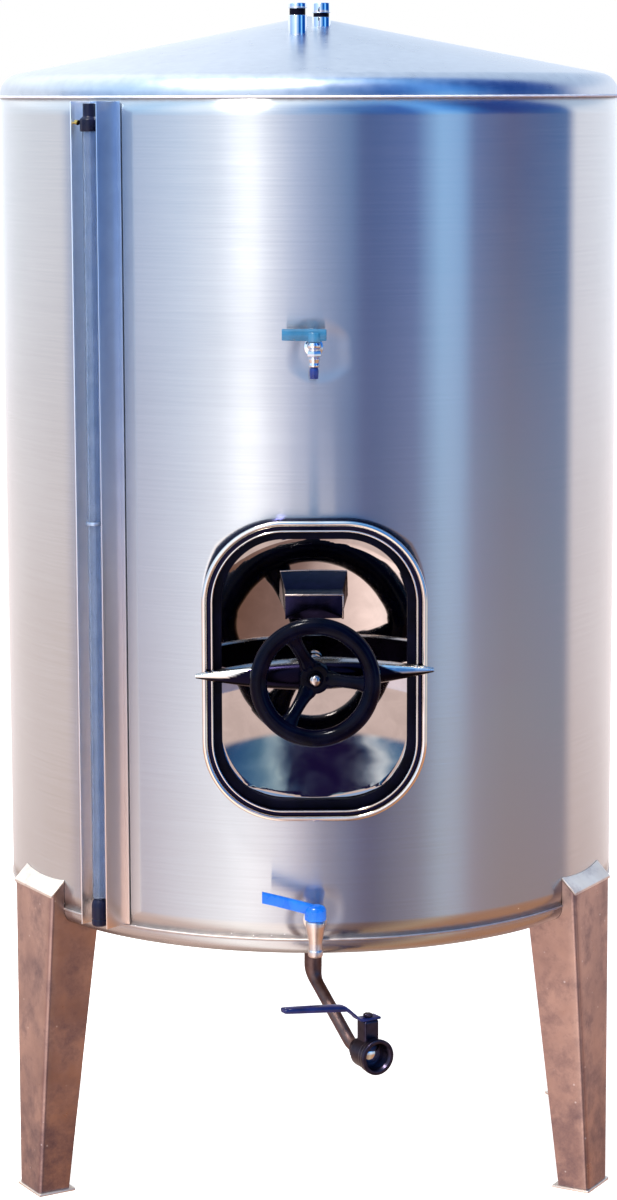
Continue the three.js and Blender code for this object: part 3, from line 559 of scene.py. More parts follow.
SHELL_NODES = ["shell_" + part for part in (
    "front_top", "front_bottom", "front_left", "front_right", "right_front", "right",
    "right_back", "left_back", "left", "left_front")]
shell = add_piece("tank_shell", rolled_wall(), shell_steel, SHELL_NODES)
thickness = shell.modifiers.new("sheet", "SOLIDIFY")
thickness.thickness = SHEET * MM
thickness.offset = -1.0

ROOF_TOP = SHELL_TOP + SEAM_HALF
ROOF_KNUCKLE, ROOF_SLOPE, BOTTOM_KNUCKLE = 34.0, math.radians(11), 24.0


def roof_profile(inset):
    """Knuckle arc up from the seam, then a straight cone to the axis."""
    knuckle = arc((SHELL_RADIUS - ROOF_KNUCKLE, ROOF_TOP), ROOF_KNUCKLE - inset, 0, 79, 18)
    r = np.linspace(knuckle[-1, 0], 0, 24)[1:]
    cone = np.stack([r, knuckle[-1, 1] + (knuckle[-1, 0] - r) * math.tan(ROOF_SLOPE)], -1)
    return np.vstack([knuckle, cone])


def bottom_profile(inset):
    """Knuckle arc down from the seam, then a flat to the axis."""
    floor_top = SHELL_BOTTOM - SEAM_HALF
    radius = BOTTOM_KNUCKLE - inset
    knuckle = arc((SHELL_RADIUS - BOTTOM_KNUCKLE, floor_top), radius, 0, -90, 14)
    r = np.linspace(knuckle[-1, 0], 0, 10)[1:]
    return np.vstack([knuckle, np.stack([r, np.full(len(r), floor_top - radius)], -1)])


def ends_of(profile):
    """The tank's end: its outer profile and the one a sheet's thickness inside, turned together."""
    return turned(np.vstack([profile(0), profile(SHEET)[::-1]]), ROUND)


add_piece("tank_roof", [ends_of(roof_profile)], roof_steel, ["roof"], sharp=60)
add_piece("tank_floor", [ends_of(bottom_profile)], shell_steel, ["tank_bottom"], sharp=60)


def weld_bead(z):
    """Ring of half-round section whose crest rises and falls 140 times round the tank."""
    a = np.linspace(0, 2 * np.pi, 1120, endpoint=False)[:, None]
    b = np.linspace(-90, 90, 9)[None, :]
    proud = BEAD_PROUD * (1 - 0.18 * (0.5 + 0.5 * np.cos(140 * a)))
    crest = SHELL_RADIUS - 0.4 + (proud + 0.4) * np.cos(np.radians(b))
    up = z + 1.9 * np.sin(np.radians(b)) + 0 * a
    inner = np.broadcast_to([[SHELL_RADIUS - SHEET] * 2], (len(a), 2))
    level = np.broadcast_to([[z + 1.7, z - 1.7]], (len(a), 2))
    r, up = np.hstack([crest, inner]), np.hstack([up, level])
    return tube(np.stack([r * np.sin(a), -r * np.cos(a), up], -1), wrapped=True)


add_piece("weld_top_seam", [weld_bead(SHELL_TOP)], weld_highlight_steel, ["top_seam"])
add_piece("weld_bottom_seam", [weld_bead(SHELL_BOTTOM)], weld_steel, ["bottom_seam"])


# roof nozzles

def roof_height(out):
    """Height of the cone at a distance out from the axis."""
    return roof_profile(0)[-1, 1] - out * math.tan(ROOF_SLOPE)


NOZZLE_OUTSIDE, NOZZLE_INSIDE = 14.5, 12.5


def nozzle(side, x, y, neck, cap, top):
    """Short pipe on the roof, its seal and its cap; neck, cap and top are heights."""
    foot = roof_height(math.hypot(x, y)) - 12
    tube_wall = lathe([(NOZZLE_OUTSIDE, foot), (NOZZLE_OUTSIDE, neck), (NOZZLE_INSIDE, neck),
                       (NOZZLE_INSIDE, foot)], 0.6)
    lid = lathe([(0, cap), (NOZZLE_OUTSIDE, cap), (NOZZLE_OUTSIDE, top), (0, top)], 1.6)
    plug = NOZZLE_INSIDE - GAP
    seal = lathe([(0, neck - 8), (plug, neck - 8), (plug, cap + 0.2), (0, cap + 0.2)], 0.4)
    at = (x, y, 0)
    add_piece("nozzle_" + side, [moved(tube_wall, at)], tap_chrome, ["roof_nozzle_" + side])
    add_piece("cap_" + side, [moved(lid, at)], tap_chrome, ["nozzle_cap_" + side])
    add_piece("cap_seal_" + side, [moved(seal, at)], rubber_black)


nozzle("left", x=-19.3, y=-150, neck=1843.5, cap=1853.5, top=1862)
nozzle("right", x=18.3, y=-77, neck=1842, cap=1848, top=1864)


# manway

def carried_round(section):
    """Section of (offset, depth) pairs carried round the rim's outline."""
    return tube([rim_outline(offset, y) for offset, y in section], wrapped=True)


RIM_FRONT = -519.0
outer_bead = arc((-4.0, RIM_FRONT + 4.0), 4.0, 0, -165, 15)
inner_bead = arc((-14.9, RIM_FRONT + 3.2), 1.5, -15, -180, 9)
inner_lip = eased([[-16.4, RIM_FRONT + 7], [-17, RIM_FRONT + 7], [-17, -501]], 0.3, 4)
frame_section = np.vstack([
    [[-6.0, -455], [-6.0, RIM_FRONT + 14]], [[-0.2, RIM_FRONT + 9]], outer_bead,
    [[-9.0, RIM_FRONT + 6], [-12.8, RIM_FRONT + 6]], inner_bead, inner_lip, [[-9, -501], [-9, -455]]])
door_frame = add_piece("door_frame", [carried_round(frame_section)], rim_painted_steel,
                       ["manway_frame"], sharp=50)
# The share marks what lies more than 3.4 to 5 mm behind the crest, which takes the painted shade.
mark_painted_light(door_frame, lambda x, y, z: smooth_step(y, RIM_FRONT + 3.4, RIM_FRONT + 5))
gasket_section = eased([[-12.4, -484], [-12.4, -500.7], [-29, -500.7], [-29, -484]], [0.5, 0.5, 3, 3])
add_piece("door_seal", [carried_round(gasket_section)], rubber_black,
          ["manway_gasket"], sharp=50)

PLATE_FACE = -483.7
DISH_RADIUS = 640.0
FLAT_RADIUS = 1000.0
DISH_DEPTH = 30.0


def dished_plate(thickness):
    """Plate in rings of the rim's outline shrunk by share s. Inside the fold at s = 0.95 it is
    hollowed by DISH_DEPTH - z^2 / (2 R) - c x^2 / 2, where the curvature c across eases from 1 / R
    in its upper half to 1 / FLAT_RADIUS in its lower half, and the fold itself is a smooth step."""
    s = np.concatenate([[1.0, 0.98], np.linspace(0.96, 0.92, 11), np.linspace(0.9, 0.03, 42)])
    outline = rim_outline(-13, 0) - [0, 0, DOOR_Z]
    face = outline[None] * s[:, None, None]
    x, z = face[..., 0], face[..., 2]
    upper = smooth_step(z, -60, 100)
    across = upper / DISH_RADIUS + (1 - upper) / FLAT_RADIUS
    hollow = DISH_DEPTH - z ** 2 / (2 * DISH_RADIUS) - across * x ** 2 / 2
    face[..., 1] = PLATE_FACE + np.maximum(hollow, 0) * smooth_step(-s, -0.96, -0.92)[:, None]
    back = face.copy()
    back[..., 1] += thickness
    rings = np.concatenate([face[::-1], back]) + [0, 0, DOOR_Z]
    return tube(rings)


add_piece("door_plate", [dished_plate(3)], mirror_steel, ["manway_door"], sharp=70)

LUG_HALF, LUG_LOW, LUG_FRONT, LUG_BACK = 43, 962, -513, PLATE_FACE + 24
bracket_parts = [
    block((-LUG_HALF, LUG_FRONT - 1, LUG_LOW + 1.2), (LUG_HALF, LUG_FRONT + 2, 998.5), 4, 0.5),
    block((-LUG_HALF, LUG_FRONT, 995.8), (LUG_HALF, LUG_BACK, 999), 0.8, 0.4),
    block((-LUG_HALF, LUG_FRONT, LUG_LOW), (3 - LUG_HALF, LUG_BACK, 998), 0.8, 0.4),
    block((LUG_HALF - 3, LUG_FRONT, LUG_LOW), (LUG_HALF, LUG_BACK, 998), 0.8, 0.4)]
add_piece("door_bracket", bracket_parts, bracket_shade_steel, ["door_lug"])
# Thin strips on the bracket's top and right edges, which carry its painted highlight
highlight_edge_parts = [
    block((-LUG_HALF, LUG_FRONT - 1.4, 996.8), (LUG_HALF, LUG_FRONT + 1, 999.3), 0.4, 0.2, 0),
    block((41, LUG_FRONT - 1.4, LUG_LOW + 1), (43.3, LUG_FRONT + 1, 996.8), 0.4, 0.2, 2)]
add_piece("door_bracket_highlight_edge", highlight_edge_parts, edge_highlight_steel)

STUD_END = 580.0
stud = moved(lathe([(0, 450), (18, 450), (18, 478.5), (8, 480), (8, STUD_END), (0, STUD_END)], 1.0),
             (0, 0, DOOR_Z), tilt=TO_FRONT)
add_piece("door_spindle", [stud], mirror_steel, ["door_stud"])
nut = moved(lathe([(0, STUD_END + GAP), (8.5, STUD_END + GAP), (8.5, STUD_END + 3), (6, STUD_END + 7),
                   (0, STUD_END + 8)], 1.6), (0, 0, DOOR_Z), tilt=TO_FRONT)
add_piece("spindle_cap", [nut], mirror_steel, ["stud_nut"])

# Clamping bridge: tapered both ways from the stud, with its back flat on the rim
BRIDGE_HALF, BRIDGE_TILT = 175.0, 1.3
BRIDGE_END, BRIDGE_SWELL, BRIDGE_DEPTH = 3.0, 21.0, 30.0
BRIDGE_BACK = RIM_FRONT - GAP


def bridge_half(along):
    """Half of the bridge's height: 3 + 21 (1 - |along/175|^1.75), and 3 past its ends."""
    t = np.clip(np.abs(along) / BRIDGE_HALF, 0, 1)
    return BRIDGE_END + BRIDGE_SWELL * (1 - t ** 1.75)


def bridge_body():
    """At x the section has the half height h that bridge_half gives, and is h + 6 deep: its front
    is a superellipse |z/h|^2.6 + |y/(h+6)|^2.6 = 1 and its back is flat."""
    x = BRIDGE_HALF * np.sin(np.linspace(-np.pi / 2, np.pi / 2, 81))[:, None]
    half = bridge_half(x)
    depth = half + BRIDGE_DEPTH - BRIDGE_END - BRIDGE_SWELL
    a = np.radians(np.linspace(-90, 90, 33))[None, :]
    curve = 2 / 2.6
    z = half * np.sign(np.sin(a)) * np.abs(np.sin(a)) ** curve
    y = BRIDGE_BACK - depth * np.abs(np.cos(a)) ** curve
    rings = np.stack(np.broadcast_arrays(x, y, z), -1)
    t = math.radians(-BRIDGE_TILT)
    tilt = np.array([[math.cos(t), 0, math.sin(t)], [0, 1, 0], [-math.sin(t), 0, math.cos(t)]])
    return moved(tube(rings), (0, 0, DOOR_Z), tilt=tilt)


def painted_ridge_and_body(x, y, z):
    """1 on the bridge's body, painted dark as a painted reflection, and 0 on the painted highlight of its
    ridge, which is the part above 0.8 to 0.9 of its half height at the middle, and its whole upper
    half near the ends. Along the bottom of its front runs a thin painted highlight of 0.4."""
    t = math.radians(BRIDGE_TILT)
    along = x * math.cos(t) + (z - DOOR_Z) * math.sin(t)
    up = (z - DOOR_Z) * math.cos(t) - x * math.sin(t)
    share = up / bridge_half(along)
    start = 0.78 - 0.98 * smooth_step(np.abs(along), 85, 140)
    painted_highlight = np.maximum(smooth_step(share, start, start + 0.12), 0.6 * smooth_step(-share, 0.84, 0.92))
    return 1 - painted_highlight * smooth_step(BRIDGE_BACK - y, 1, 4)


bridge = add_piece("clamp_bridge", [bridge_body()], clamp_painted_steel, ["bridge"], "bridge",
                   sharp=50)
# The share puts the painted dark reflection on the body and the painted highlight on the ridge.
mark_painted_light(bridge, painted_ridge_and_body)


# handwheel

WHEEL_RADIUS, WHEEL_RIM, WHEEL_PLANE, SPOKE_START = 82.5, 12.5, -598.0, 12.0
HUB_BACK = BRIDGE_BACK - BRIDGE_DEPTH - GAP


def wheel_rim():
    """Torus about Y: (R + r cos b) out, r sin b along the axis."""
    a = np.linspace(0, 2 * np.pi, 144, endpoint=False)[:, None]
    b = np.linspace(0, 2 * np.pi, 40, endpoint=False)[None, :]
    out = WHEEL_RADIUS + WHEEL_RIM * np.cos(b)
    y = WHEEL_PLANE + WHEEL_RIM * np.sin(b) + 0 * a
    return tube(np.stack([out * np.cos(a), y, out * np.sin(a)], -1), wrapped=True)


def spoke(degrees):
    """Flat bar from the hub out to the rim. Its half width narrows from 10 to 8.5 mm and its half
    depth is 6.5 mm. Near the hub and the rim it flares by 5 e^(-d/7) mm and at most 4, d being the
    distance to each, and by half of that in depth."""
    span = WHEEL_RADIUS - SPOKE_START
    d = np.linspace(0, span, 26)[:, None]
    b = np.linspace(0, 2 * np.pi, 36, endpoint=False)[None, :]
    flare = 5 * (np.exp(-np.maximum(d - 9, 0) / 7) + np.exp(-np.maximum(span - 12 - d, 0) / 7))
    flare = np.minimum(flare, 4)
    t = d / span
    y = HUB_BACK - 12 + (WHEEL_PLANE - HUB_BACK + 12) * t
    across = (10 - 1.5 * t + flare) * np.sign(np.cos(b)) * np.abs(np.cos(b)) ** 0.8
    deep = (6.5 + 0.5 * flare) * np.sin(b)
    a = math.radians(degrees)
    out = SPOKE_START + d
    rings = np.stack([out * math.cos(a) - across * math.sin(a), y + deep,
                      out * math.sin(a) + across * math.cos(a)], -1)
    return tube(rings)


hub = moved(lathe([(8.6, -HUB_BACK), (25, -HUB_BACK), (22, 22 - HUB_BACK), (11.5, 22 - HUB_BACK),
                   (11, 20 - HUB_BACK), (8.6, 20 - HUB_BACK)], 2.0, 72), tilt=TO_FRONT)
wheel_parts = [wheel_rim(), hub, spoke(-3), spoke(117), spoke(237)]
add_piece("clamp_handwheel", [moved(part, (0, 0, DOOR_Z)) for part in wheel_parts], wheel_black,
          ["handwheel"], "handwheel", sharp=60)


# level gauge

GAUGE_ANGLE = -38.75
GAUGE_Y = -522.0
CHANNEL_BACK = -SHELL_RADIUS - GAP
CHANNEL_FRONT = CHANNEL_BACK - 45
CHANNEL_LOW, CHANNEL_HIGH, CHANNEL_INSIDE, CHANNEL_OUTSIDE = 473, 1714, 24.2, 26.2
CLIP_Z, TUBE_LOW, TUBE_HIGH = 1091, 516, 1670


def channel_wall(left, front, right, back):
    """One flat wall of the channel, from its foot to its top, at its place round the shell."""
    wall = block((left, front, CHANNEL_LOW), (right, back, CHANNEL_HIGH), 0.6, 0.4, 2)
    return moved(wall, turn=GAUGE_ANGLE)


def at_gauge(surface):
    """A surface made about the gauge's own upright axis, moved to its place on the shell."""
    return moved(moved(surface, (0, GAUGE_Y, 0)), turn=GAUGE_ANGLE)


channel_parts = [channel_wall(-33, CHANNEL_BACK - 2, 33, CHANNEL_BACK),
                 channel_wall(CHANNEL_INSIDE, CHANNEL_FRONT, CHANNEL_OUTSIDE, CHANNEL_BACK - 1)]
channel = add_piece("level_channel", channel_parts, channel_reflection_steel, ["gauge_channel"])
# The share grows towards the foot, where the painted reflection turns pale.
mark_painted_light(channel, lambda x, y, z: (CHANNEL_HIGH - z) / (CHANNEL_HIGH - CHANNEL_LOW))
channel_side = channel_wall(-CHANNEL_OUTSIDE, CHANNEL_FRONT, -CHANNEL_INSIDE, CHANNEL_BACK - 1)
add_piece("level_channel_side", [channel_side], pale_reflection_steel)

level_tube = lathe([(8, TUBE_LOW), (10.5, TUBE_LOW), (10.5, TUBE_HIGH), (8, TUBE_HIGH)], 0.4)
add_piece("level_tube", [at_gauge(level_tube)], gauge_clear, ["gauge_tube"])
top_fitting = lathe([
    (0, TUBE_HIGH + GAP), (14, TUBE_HIGH + GAP), (14, 1688), (9.5, 1692), (9.5, 1711), (0, 1711)], 1.2)
add_piece("level_top_fitting", [at_gauge(top_fitting)], fitting_black,
          ["gauge_top_fitting"])
bottom_parts = [
    lathe([(0, 472.5), (10, 472.5), (12.5, 475), (12.5, 482), (11.5, 483.5), (12.5, 485),
           (12.5, 503), (11.5, 509), (8, TUBE_LOW - GAP), (0, TUBE_LOW - GAP)], 0.8),
    moved(lathe([(0, 0), (7, 0), (7, 37), (0, 37)], 0.5), (0, 0, 492), tilt=TO_BACK)]
add_piece("level_bottom_fitting", [at_gauge(part) for part in bottom_parts], fitting_black,
          ["gauge_bottom_fitting"])
clip_parts = [
    lathe([(13, CLIP_Z - 2.5), (13, CLIP_Z + 2.5), (10.8, CLIP_Z + 2.5), (10.8, CLIP_Z - 2.5)], 0.6),
    block((-4, 11.5, CLIP_Z - 2.5), (4, CHANNEL_BACK - 2.3 - GAUGE_Y, CLIP_Z + 2.5), 1, 0.3)]
add_piece("level_clip", [at_gauge(part) for part in clip_parts], channel_reflection_steel,
          ["gauge_clip"])
vent_parts = [
    swept([(-14.6, -8, 1683), (-16, -8, 1683.4), (-20, -8, 1684)], [4, 3.8, 3.4], (0, 1, 0), 24),
    block((-19.5, -11.5, 1681), (-15.2, -5, 1687), 1.5, 0.8),
    block((-24.5, -9.5, 1681.5), (-18.5, -6.5, 1684), 0.8, 0.6)]
add_piece("level_vent", [at_gauge(part) for part in vent_parts], brass,
          ["gauge_vent_lever"])


# taps

def lever_arm(points, roundness=0.3):
    """Bar through stations (along, up, width, thickness), whose oblong section has its corners
    eased by a share of its smaller side."""
    rings = []
    for x, z, width, thickness in points:
        w, t = width / 2, thickness / 2
        section = eased([(-w, -t), (w, -t), (w, t), (-w, t)], min(width, thickness) * roundness)
        rings.append(np.column_stack([np.full(len(section), x), section[:, 0], z + section[:, 1]]))
    return tube(rings)


def smooth_stations(points, count=24):
    """Stations between the given ones on a smooth cubic through them: with a, b, c, d four in a
    row, from b to c it is (2b + (c-a) t + (2a-5b+4c-d) t^2 + (3b-a-3c+d) t^3) / 2."""
    p = np.asarray(points, float)
    p = np.vstack([2 * p[0] - p[1], p, 2 * p[-1] - p[-2]])
    u = np.linspace(0, len(points) - 1 - 1e-9, count)
    i = u.astype(int)
    t = (u - i)[:, None]
    a, b, c, d = p[i], p[i + 1], p[i + 2], p[i + 3]
    square, cube = 2 * a - 5 * b + 4 * c - d, 3 * b - a - 3 * c + d
    return 0.5 * (2 * b + (c - a) * t + square * t ** 2 + cube * t ** 3)


def at_tap(surface):
    """A surface made about a tap's own upright axis, moved out in front of the shell."""
    return moved(surface, (0, -TAP_OUT, 0))


def inlet(z, radius, flange):
    """Short pipe from the shell to the tap with a welded collar."""
    profile = [(0, 484), (radius, 484), (radius, 490.6), (flange, 490.6), (flange, 495),
               (radius, 496.5), (radius, TAP_OUT), (0, TAP_OUT)]
    return moved(lathe(profile, 0.8), (0, 0, z), tilt=TO_FRONT)


sample_tip = lathe([
    (0, 1334), (3.8, 1334), (3.8, 1318), (6, 1318), (6.6, 1330), (5.4, 1334.4), (0, 1334.4)], 0.6)
sample_barrel = lathe([
    (0, 1334.6), (6.4, 1334.6), (7.6, 1336), (7.6, 1339), (6.7, 1340.5), (8.2, 1346), (8.2, 1347.5),
    (6.6, 1349), (6.6, 1351), (0, 1351)], 0.8)
sample_nut = lathe([(0, 1350), (9.6, 1350), (11, 1351), (11, 1357.5), (9.6, 1358.5), (0, 1358.5)],
                   0.4, HEXAGON, 3)
sample_neck = lathe([
    (0, 1358), (7.4, 1358), (7.4, 1361), (10, 1363), (10.4, 1367), (8.6, 1371), (0, 1371)], 0.8)
add_piece("sample_spout", [at_tap(sample_tip)], spout_blue)
sample_body = [at_tap(sample_barrel), at_tap(sample_nut), at_tap(sample_neck), inlet(1360, 8, 14)]
add_piece("sample_tap", sample_body, tap_chrome, ["sample_tap_body"])
sample_hub = lathe([(0, 1371.3), (11, 1371.3), (11, 1385), (0, 1385)], 1.5)
sample_arm = lever_arm([(-46.5, 1381.5, 11, 15), (-45.5, 1381.5, 13, 17), (0, 1381, 14, 18),
                        (17, 1381, 13, 17), (18, 1381, 11, 15)], 0.55)
add_piece("sample_tap_handle", [at_tap(sample_hub), at_tap(sample_arm)], teal_sleeve,
          ["sample_tap_lever"], "sample_tap_lever")

drain_barrel = lathe([
    (0, 484), (7, 484), (7, 458), (9.5, 458), (11, 460), (11, 467), (9.8, 469), (9.8, 479), (11, 486),
    (14.5, 505), (14.5, 511), (12.5, 514), (0, 514)], 1.0)
add_piece("drain_tap", [at_tap(drain_barrel), inlet(503, 11, 18)], barrel_steel,
          ["drain_tap_body"])
drain_hub = lathe([(0, 514.3), (15.5, 514.3), (16, 516), (16, 530), (13, 535), (6, 537), (0, 537)], 2.0)
drain_arm = lever_arm(smooth_stations([
    (-79, 549, 9, 17), (-60, 544.5, 9, 17), (-20, 534, 12, 17), (0, 528.5, 16, 16)]))
add_piece("drain_tap_handle", [at_tap(drain_hub), at_tap(drain_arm)], azure_sleeve,
          ["drain_tap_lever"], "drain_tap_lever")


# bottom outlet

OUTLET_YAW = 30.0
OUTLET_BALL = np.array([78.0, -534.0, 308.0])
VALVE_HALF = 30.0
OUTLET_TOP, ELBOW_Z, ELBOW_REACH = 443.7, 390.0, 18.0
PIPE_RADIUS, SPOUT_RADIUS, NARROWING = 13.45, 9.5, 34.0
yaw = math.radians(OUTLET_YAW)
outlet_way = np.array([math.sin(yaw), -math.cos(yaw), 0])
outlet_side = np.array([math.cos(yaw), math.sin(yaw), 0])


def outlet_run():
    """Pipe from the bottom plate: down, through its elbow, and out to the valve. Its radius eases
    from 13.45 to 9.5 mm over the 34 mm after the elbow begins."""
    end = OUTLET_BALL - outlet_way * (VALVE_HALF - 6)
    turn = OUTLET_BALL - outlet_way * (VALVE_HALF + 16.3)
    corners = bent_path([(-2, -400, OUTLET_TOP), (-2, -400, ELBOW_Z), turn, end], [ELBOW_REACH, 11.2])
    far = travelled(corners)
    at = np.linspace(0, far[-1], 90)
    path = np.stack([np.interp(at, far, corners[:, i]) for i in range(3)], -1)
    elbow = OUTLET_TOP - ELBOW_Z - ELBOW_REACH
    narrower = smooth_step(at, elbow, elbow + NARROWING)
    return swept(path, PIPE_RADIUS + (SPOUT_RADIUS - PIPE_RADIUS) * narrower, outlet_side, 48)


def at_valve(surface):
    """A surface made about the valve's ball, turned along the outlet and moved to its place."""
    return moved(surface, OUTLET_BALL, turn=OUTLET_YAW)


def valve_neck():
    """Upright from the ball to the lever: |x/h|^n + |y/h|^n = 1, h easing from 15 to 12.5 mm and n
    from 2.2 to 7 over its lowest 12 mm, with a rounded top."""
    z = np.concatenate([np.linspace(6, 50, 20), [50.8, 51.3, 51.5]])[:, None]
    draw = np.concatenate([np.zeros(20), [0.3, 0.9, 1.6]])[:, None]
    t = smooth_step(z, 6, 18)
    half, power = 15 - 2.5 * t - draw, 2 / (2.2 + 4.8 * t)
    a = np.linspace(0, 2 * np.pi, 64, endpoint=False)[None, :]
    x = half * np.sign(np.cos(a)) * np.abs(np.cos(a)) ** power
    y = half * np.sign(np.sin(a)) * np.abs(np.sin(a)) ** power
    return tube(np.stack([x, y, z + 0 * a], -1))


add_piece("outlet_run", [outlet_run()], pipe_shade_steel, ["outlet_pipe"], sharp=50)
thread = [(18.5 + 0.35 * (i % 2), 10.5 + 0.9 * i) for i in range(18)]
valve_bore = lathe([(0, 9.2), (14.5, 9.2), (15.5, 9.9), (18.4, 9.9)] + thread + [
    (21.4, 30), (26.2, 30), (27, 29.2), (27, 24), (26, 21), (26, 15.5), (24.6, 13), (24.2, 11),
    (23.4, -12), (20.5, -16), (15, -18), (15, -30), (0, -30)], 0.45, 72)
valve_nut = lathe([(0, -29), (15.2, -29), (17, -27.8), (17, -19.8), (15.2, -18.6), (0, -18.6)],
                  0.4, HEXAGON, 3)
valve_parts = [moved(valve_bore, tilt=TO_FRONT), moved(valve_nut, tilt=TO_FRONT), valve_neck()]
add_piece("outlet_valve", [at_valve(part) for part in valve_parts], valve_shade_steel,
          ["outlet_valve_body"])
valve_ball = lathe([(0, 9.5), (14.2, 9.5), (13, 10.6), (10, 11.9), (6, 12.9), (0, 13.5)], 2.0, 72)
add_piece("outlet_ball", [at_valve(moved(valve_ball, tilt=TO_FRONT))], tap_chrome)
valve_arm = lever_arm(smooth_stations([
    (15, 54, 20, 3), (14, 54, 22, 4), (-14, 54, 22, 4), (-26, 63, 18, 4.5), (-38, 73, 18, 6),
    (-48, 76, 20, 9), (-90, 81, 20, 9), (-140, 86.5, 18, 8), (-145, 87, 15, 6),
    (-146.6, 87.2, 11, 4)], 60), 0.6)
add_piece("outlet_lever", [at_valve(valve_arm)], navy_sleeve, ["outlet_valve_lever"],
          "outlet_valve_lever")
lever_nut = lathe([(0, 55.5), (6, 55.5), (7.2, 56), (7.2, 60.2), (6, 61), (0, 61)], 0.3, HEXAGON, 3)
add_piece("outlet_lever_nut", [at_valve(lever_nut)], valve_shade_steel, (), "outlet_valve_lever")


# legs

LEG_FOOT_Z, LEG_TOP_Z = 4.3, 490.0
LEG_OUT, LEG_HALF, LEG_DEPTH, LEG_BEND, LEG_SHEET = (523, 508), (36, 66), (52, 86), 7.0, 3.0
LEG_ANGLES = {"front_left": -60, "front_right": 60, "back_left": -113, "back_right": 113}


def leg_surface(inset):
    """Channel section at each height: flange, fold, face, fold, flange, `inset` mm inside its outside.

    The section tapers evenly. Under the tank the flanges run their full depth; against the knuckle
    and the wall, of radius T at that height, they end at depth out - sqrt(T^2 - half^2). The rows
    above the lower seam rise with depth until the top lies on the cover's 45 degree slope.
    """
    under = SHELL_BOTTOM - SEAM_HALF
    knuckle_foot = under - BOTTOM_KNUCKLE - 0.35
    h = np.concatenate([np.linspace(LEG_FOOT_Z, knuckle_foot - 0.05, 26),
                        np.linspace(knuckle_foot + 0.05, under, 12),
                        np.linspace(under + 0.5, LEG_TOP_Z, 8)])
    k = (h - LEG_FOOT_Z) / (LEG_TOP_Z - LEG_FOOT_Z)
    out, half, depth = (low + (high - low) * k for low, high in (LEG_OUT, LEG_HALF, LEG_DEPTH))
    drop = np.clip(under - h, 0, BOTTOM_KNUCKLE)
    tank = SHELL_RADIUS - BOTTOM_KNUCKLE + np.sqrt(BOTTOM_KNUCKLE ** 2 - drop ** 2) + GAP
    reach = np.where(h < knuckle_foot, depth, out - np.sqrt(tank ** 2 - half ** 2))[:, None]
    bend = LEG_BEND - inset
    u = np.linspace(0, 1, 9)[None, :]
    flange = LEG_BEND + (reach - LEG_BEND) * (1 - u)
    a = np.radians(np.linspace(0, 90, 6))[1:-1][None, :]
    side = (half - inset)[:, None]
    fold_x = side - bend + bend * np.cos(a)
    fold_d = LEG_BEND - bend * np.sin(a) + 0 * fold_x
    face = (side - bend) * np.linspace(-1, 1, 13)[None, :]
    x = np.hstack([-side + 0 * flange, -fold_x, face, fold_x[:, ::-1], side + 0 * flange])
    d = np.hstack([flange, fold_d, inset + 0 * face, fold_d[:, ::-1], flange[:, ::-1]])
    rise = np.clip((h - under) / (LEG_TOP_Z - under), 0, 1)[:, None]
    return np.stack([x, d - out[:, None], h[:, None] + rise * d], -1)


def leg_cover(gap):
    """Sloping plate over a leg: a 45 degree plane from 1 mm outside the leg's face up to the wall's
    curve, y = -sqrt(R^2 - x^2), lifted off the leg by `gap`."""
    x = np.linspace(-LEG_HALF[1], LEG_HALF[1], 31)[:, None]
    t = np.linspace(0, 1, 7)[None, :]
    y = -LEG_OUT[1] - 1 + (LEG_OUT[1] + 1 - np.sqrt((SHELL_RADIUS + GAP) ** 2 - x ** 2)) * t
    return np.stack([x + 0 * y, y, LEG_TOP_Z + LEG_OUT[1] + y + gap * math.sqrt(2)], -1)


def soften(piece, width):
    """Rounds a piece's sharp edges by a live bevel."""
    edge = piece.modifiers.new("edge", "BEVEL")
    edge.width = width * MM
    edge.segments = 2
    edge.limit_method = "ANGLE"
    edge.angle_limit = math.radians(50)
    edge.harden_normals = False


leg = slab(leg_surface(0), leg_surface(LEG_SHEET))
cover = slab(leg_cover(GAP), leg_cover(GAP + LEG_SHEET))
foot = block((-40, -525, 0), (40, -461, 4), 2.5, 0.6, 2)
for place, angle in LEG_ANGLES.items():
    folded = add_piece("folded_leg_" + place, [moved(leg, turn=angle)], leg_steel,
                       ["leg_" + place])
    soften(folded, 0.5)
    sloping = add_piece("sloping_cover_" + place, [moved(cover, turn=angle)], plate_steel,
                        ["leg_cover_" + place])
    soften(sloping, 0.7)
    add_piece("floor_plate_" + place, [moved(foot, turn=angle)], plate_steel,
              ["foot_plate_" + place])


# studio

SURROUNDINGS = 1.9  # strength of what is mirrored, the same for the world and the card

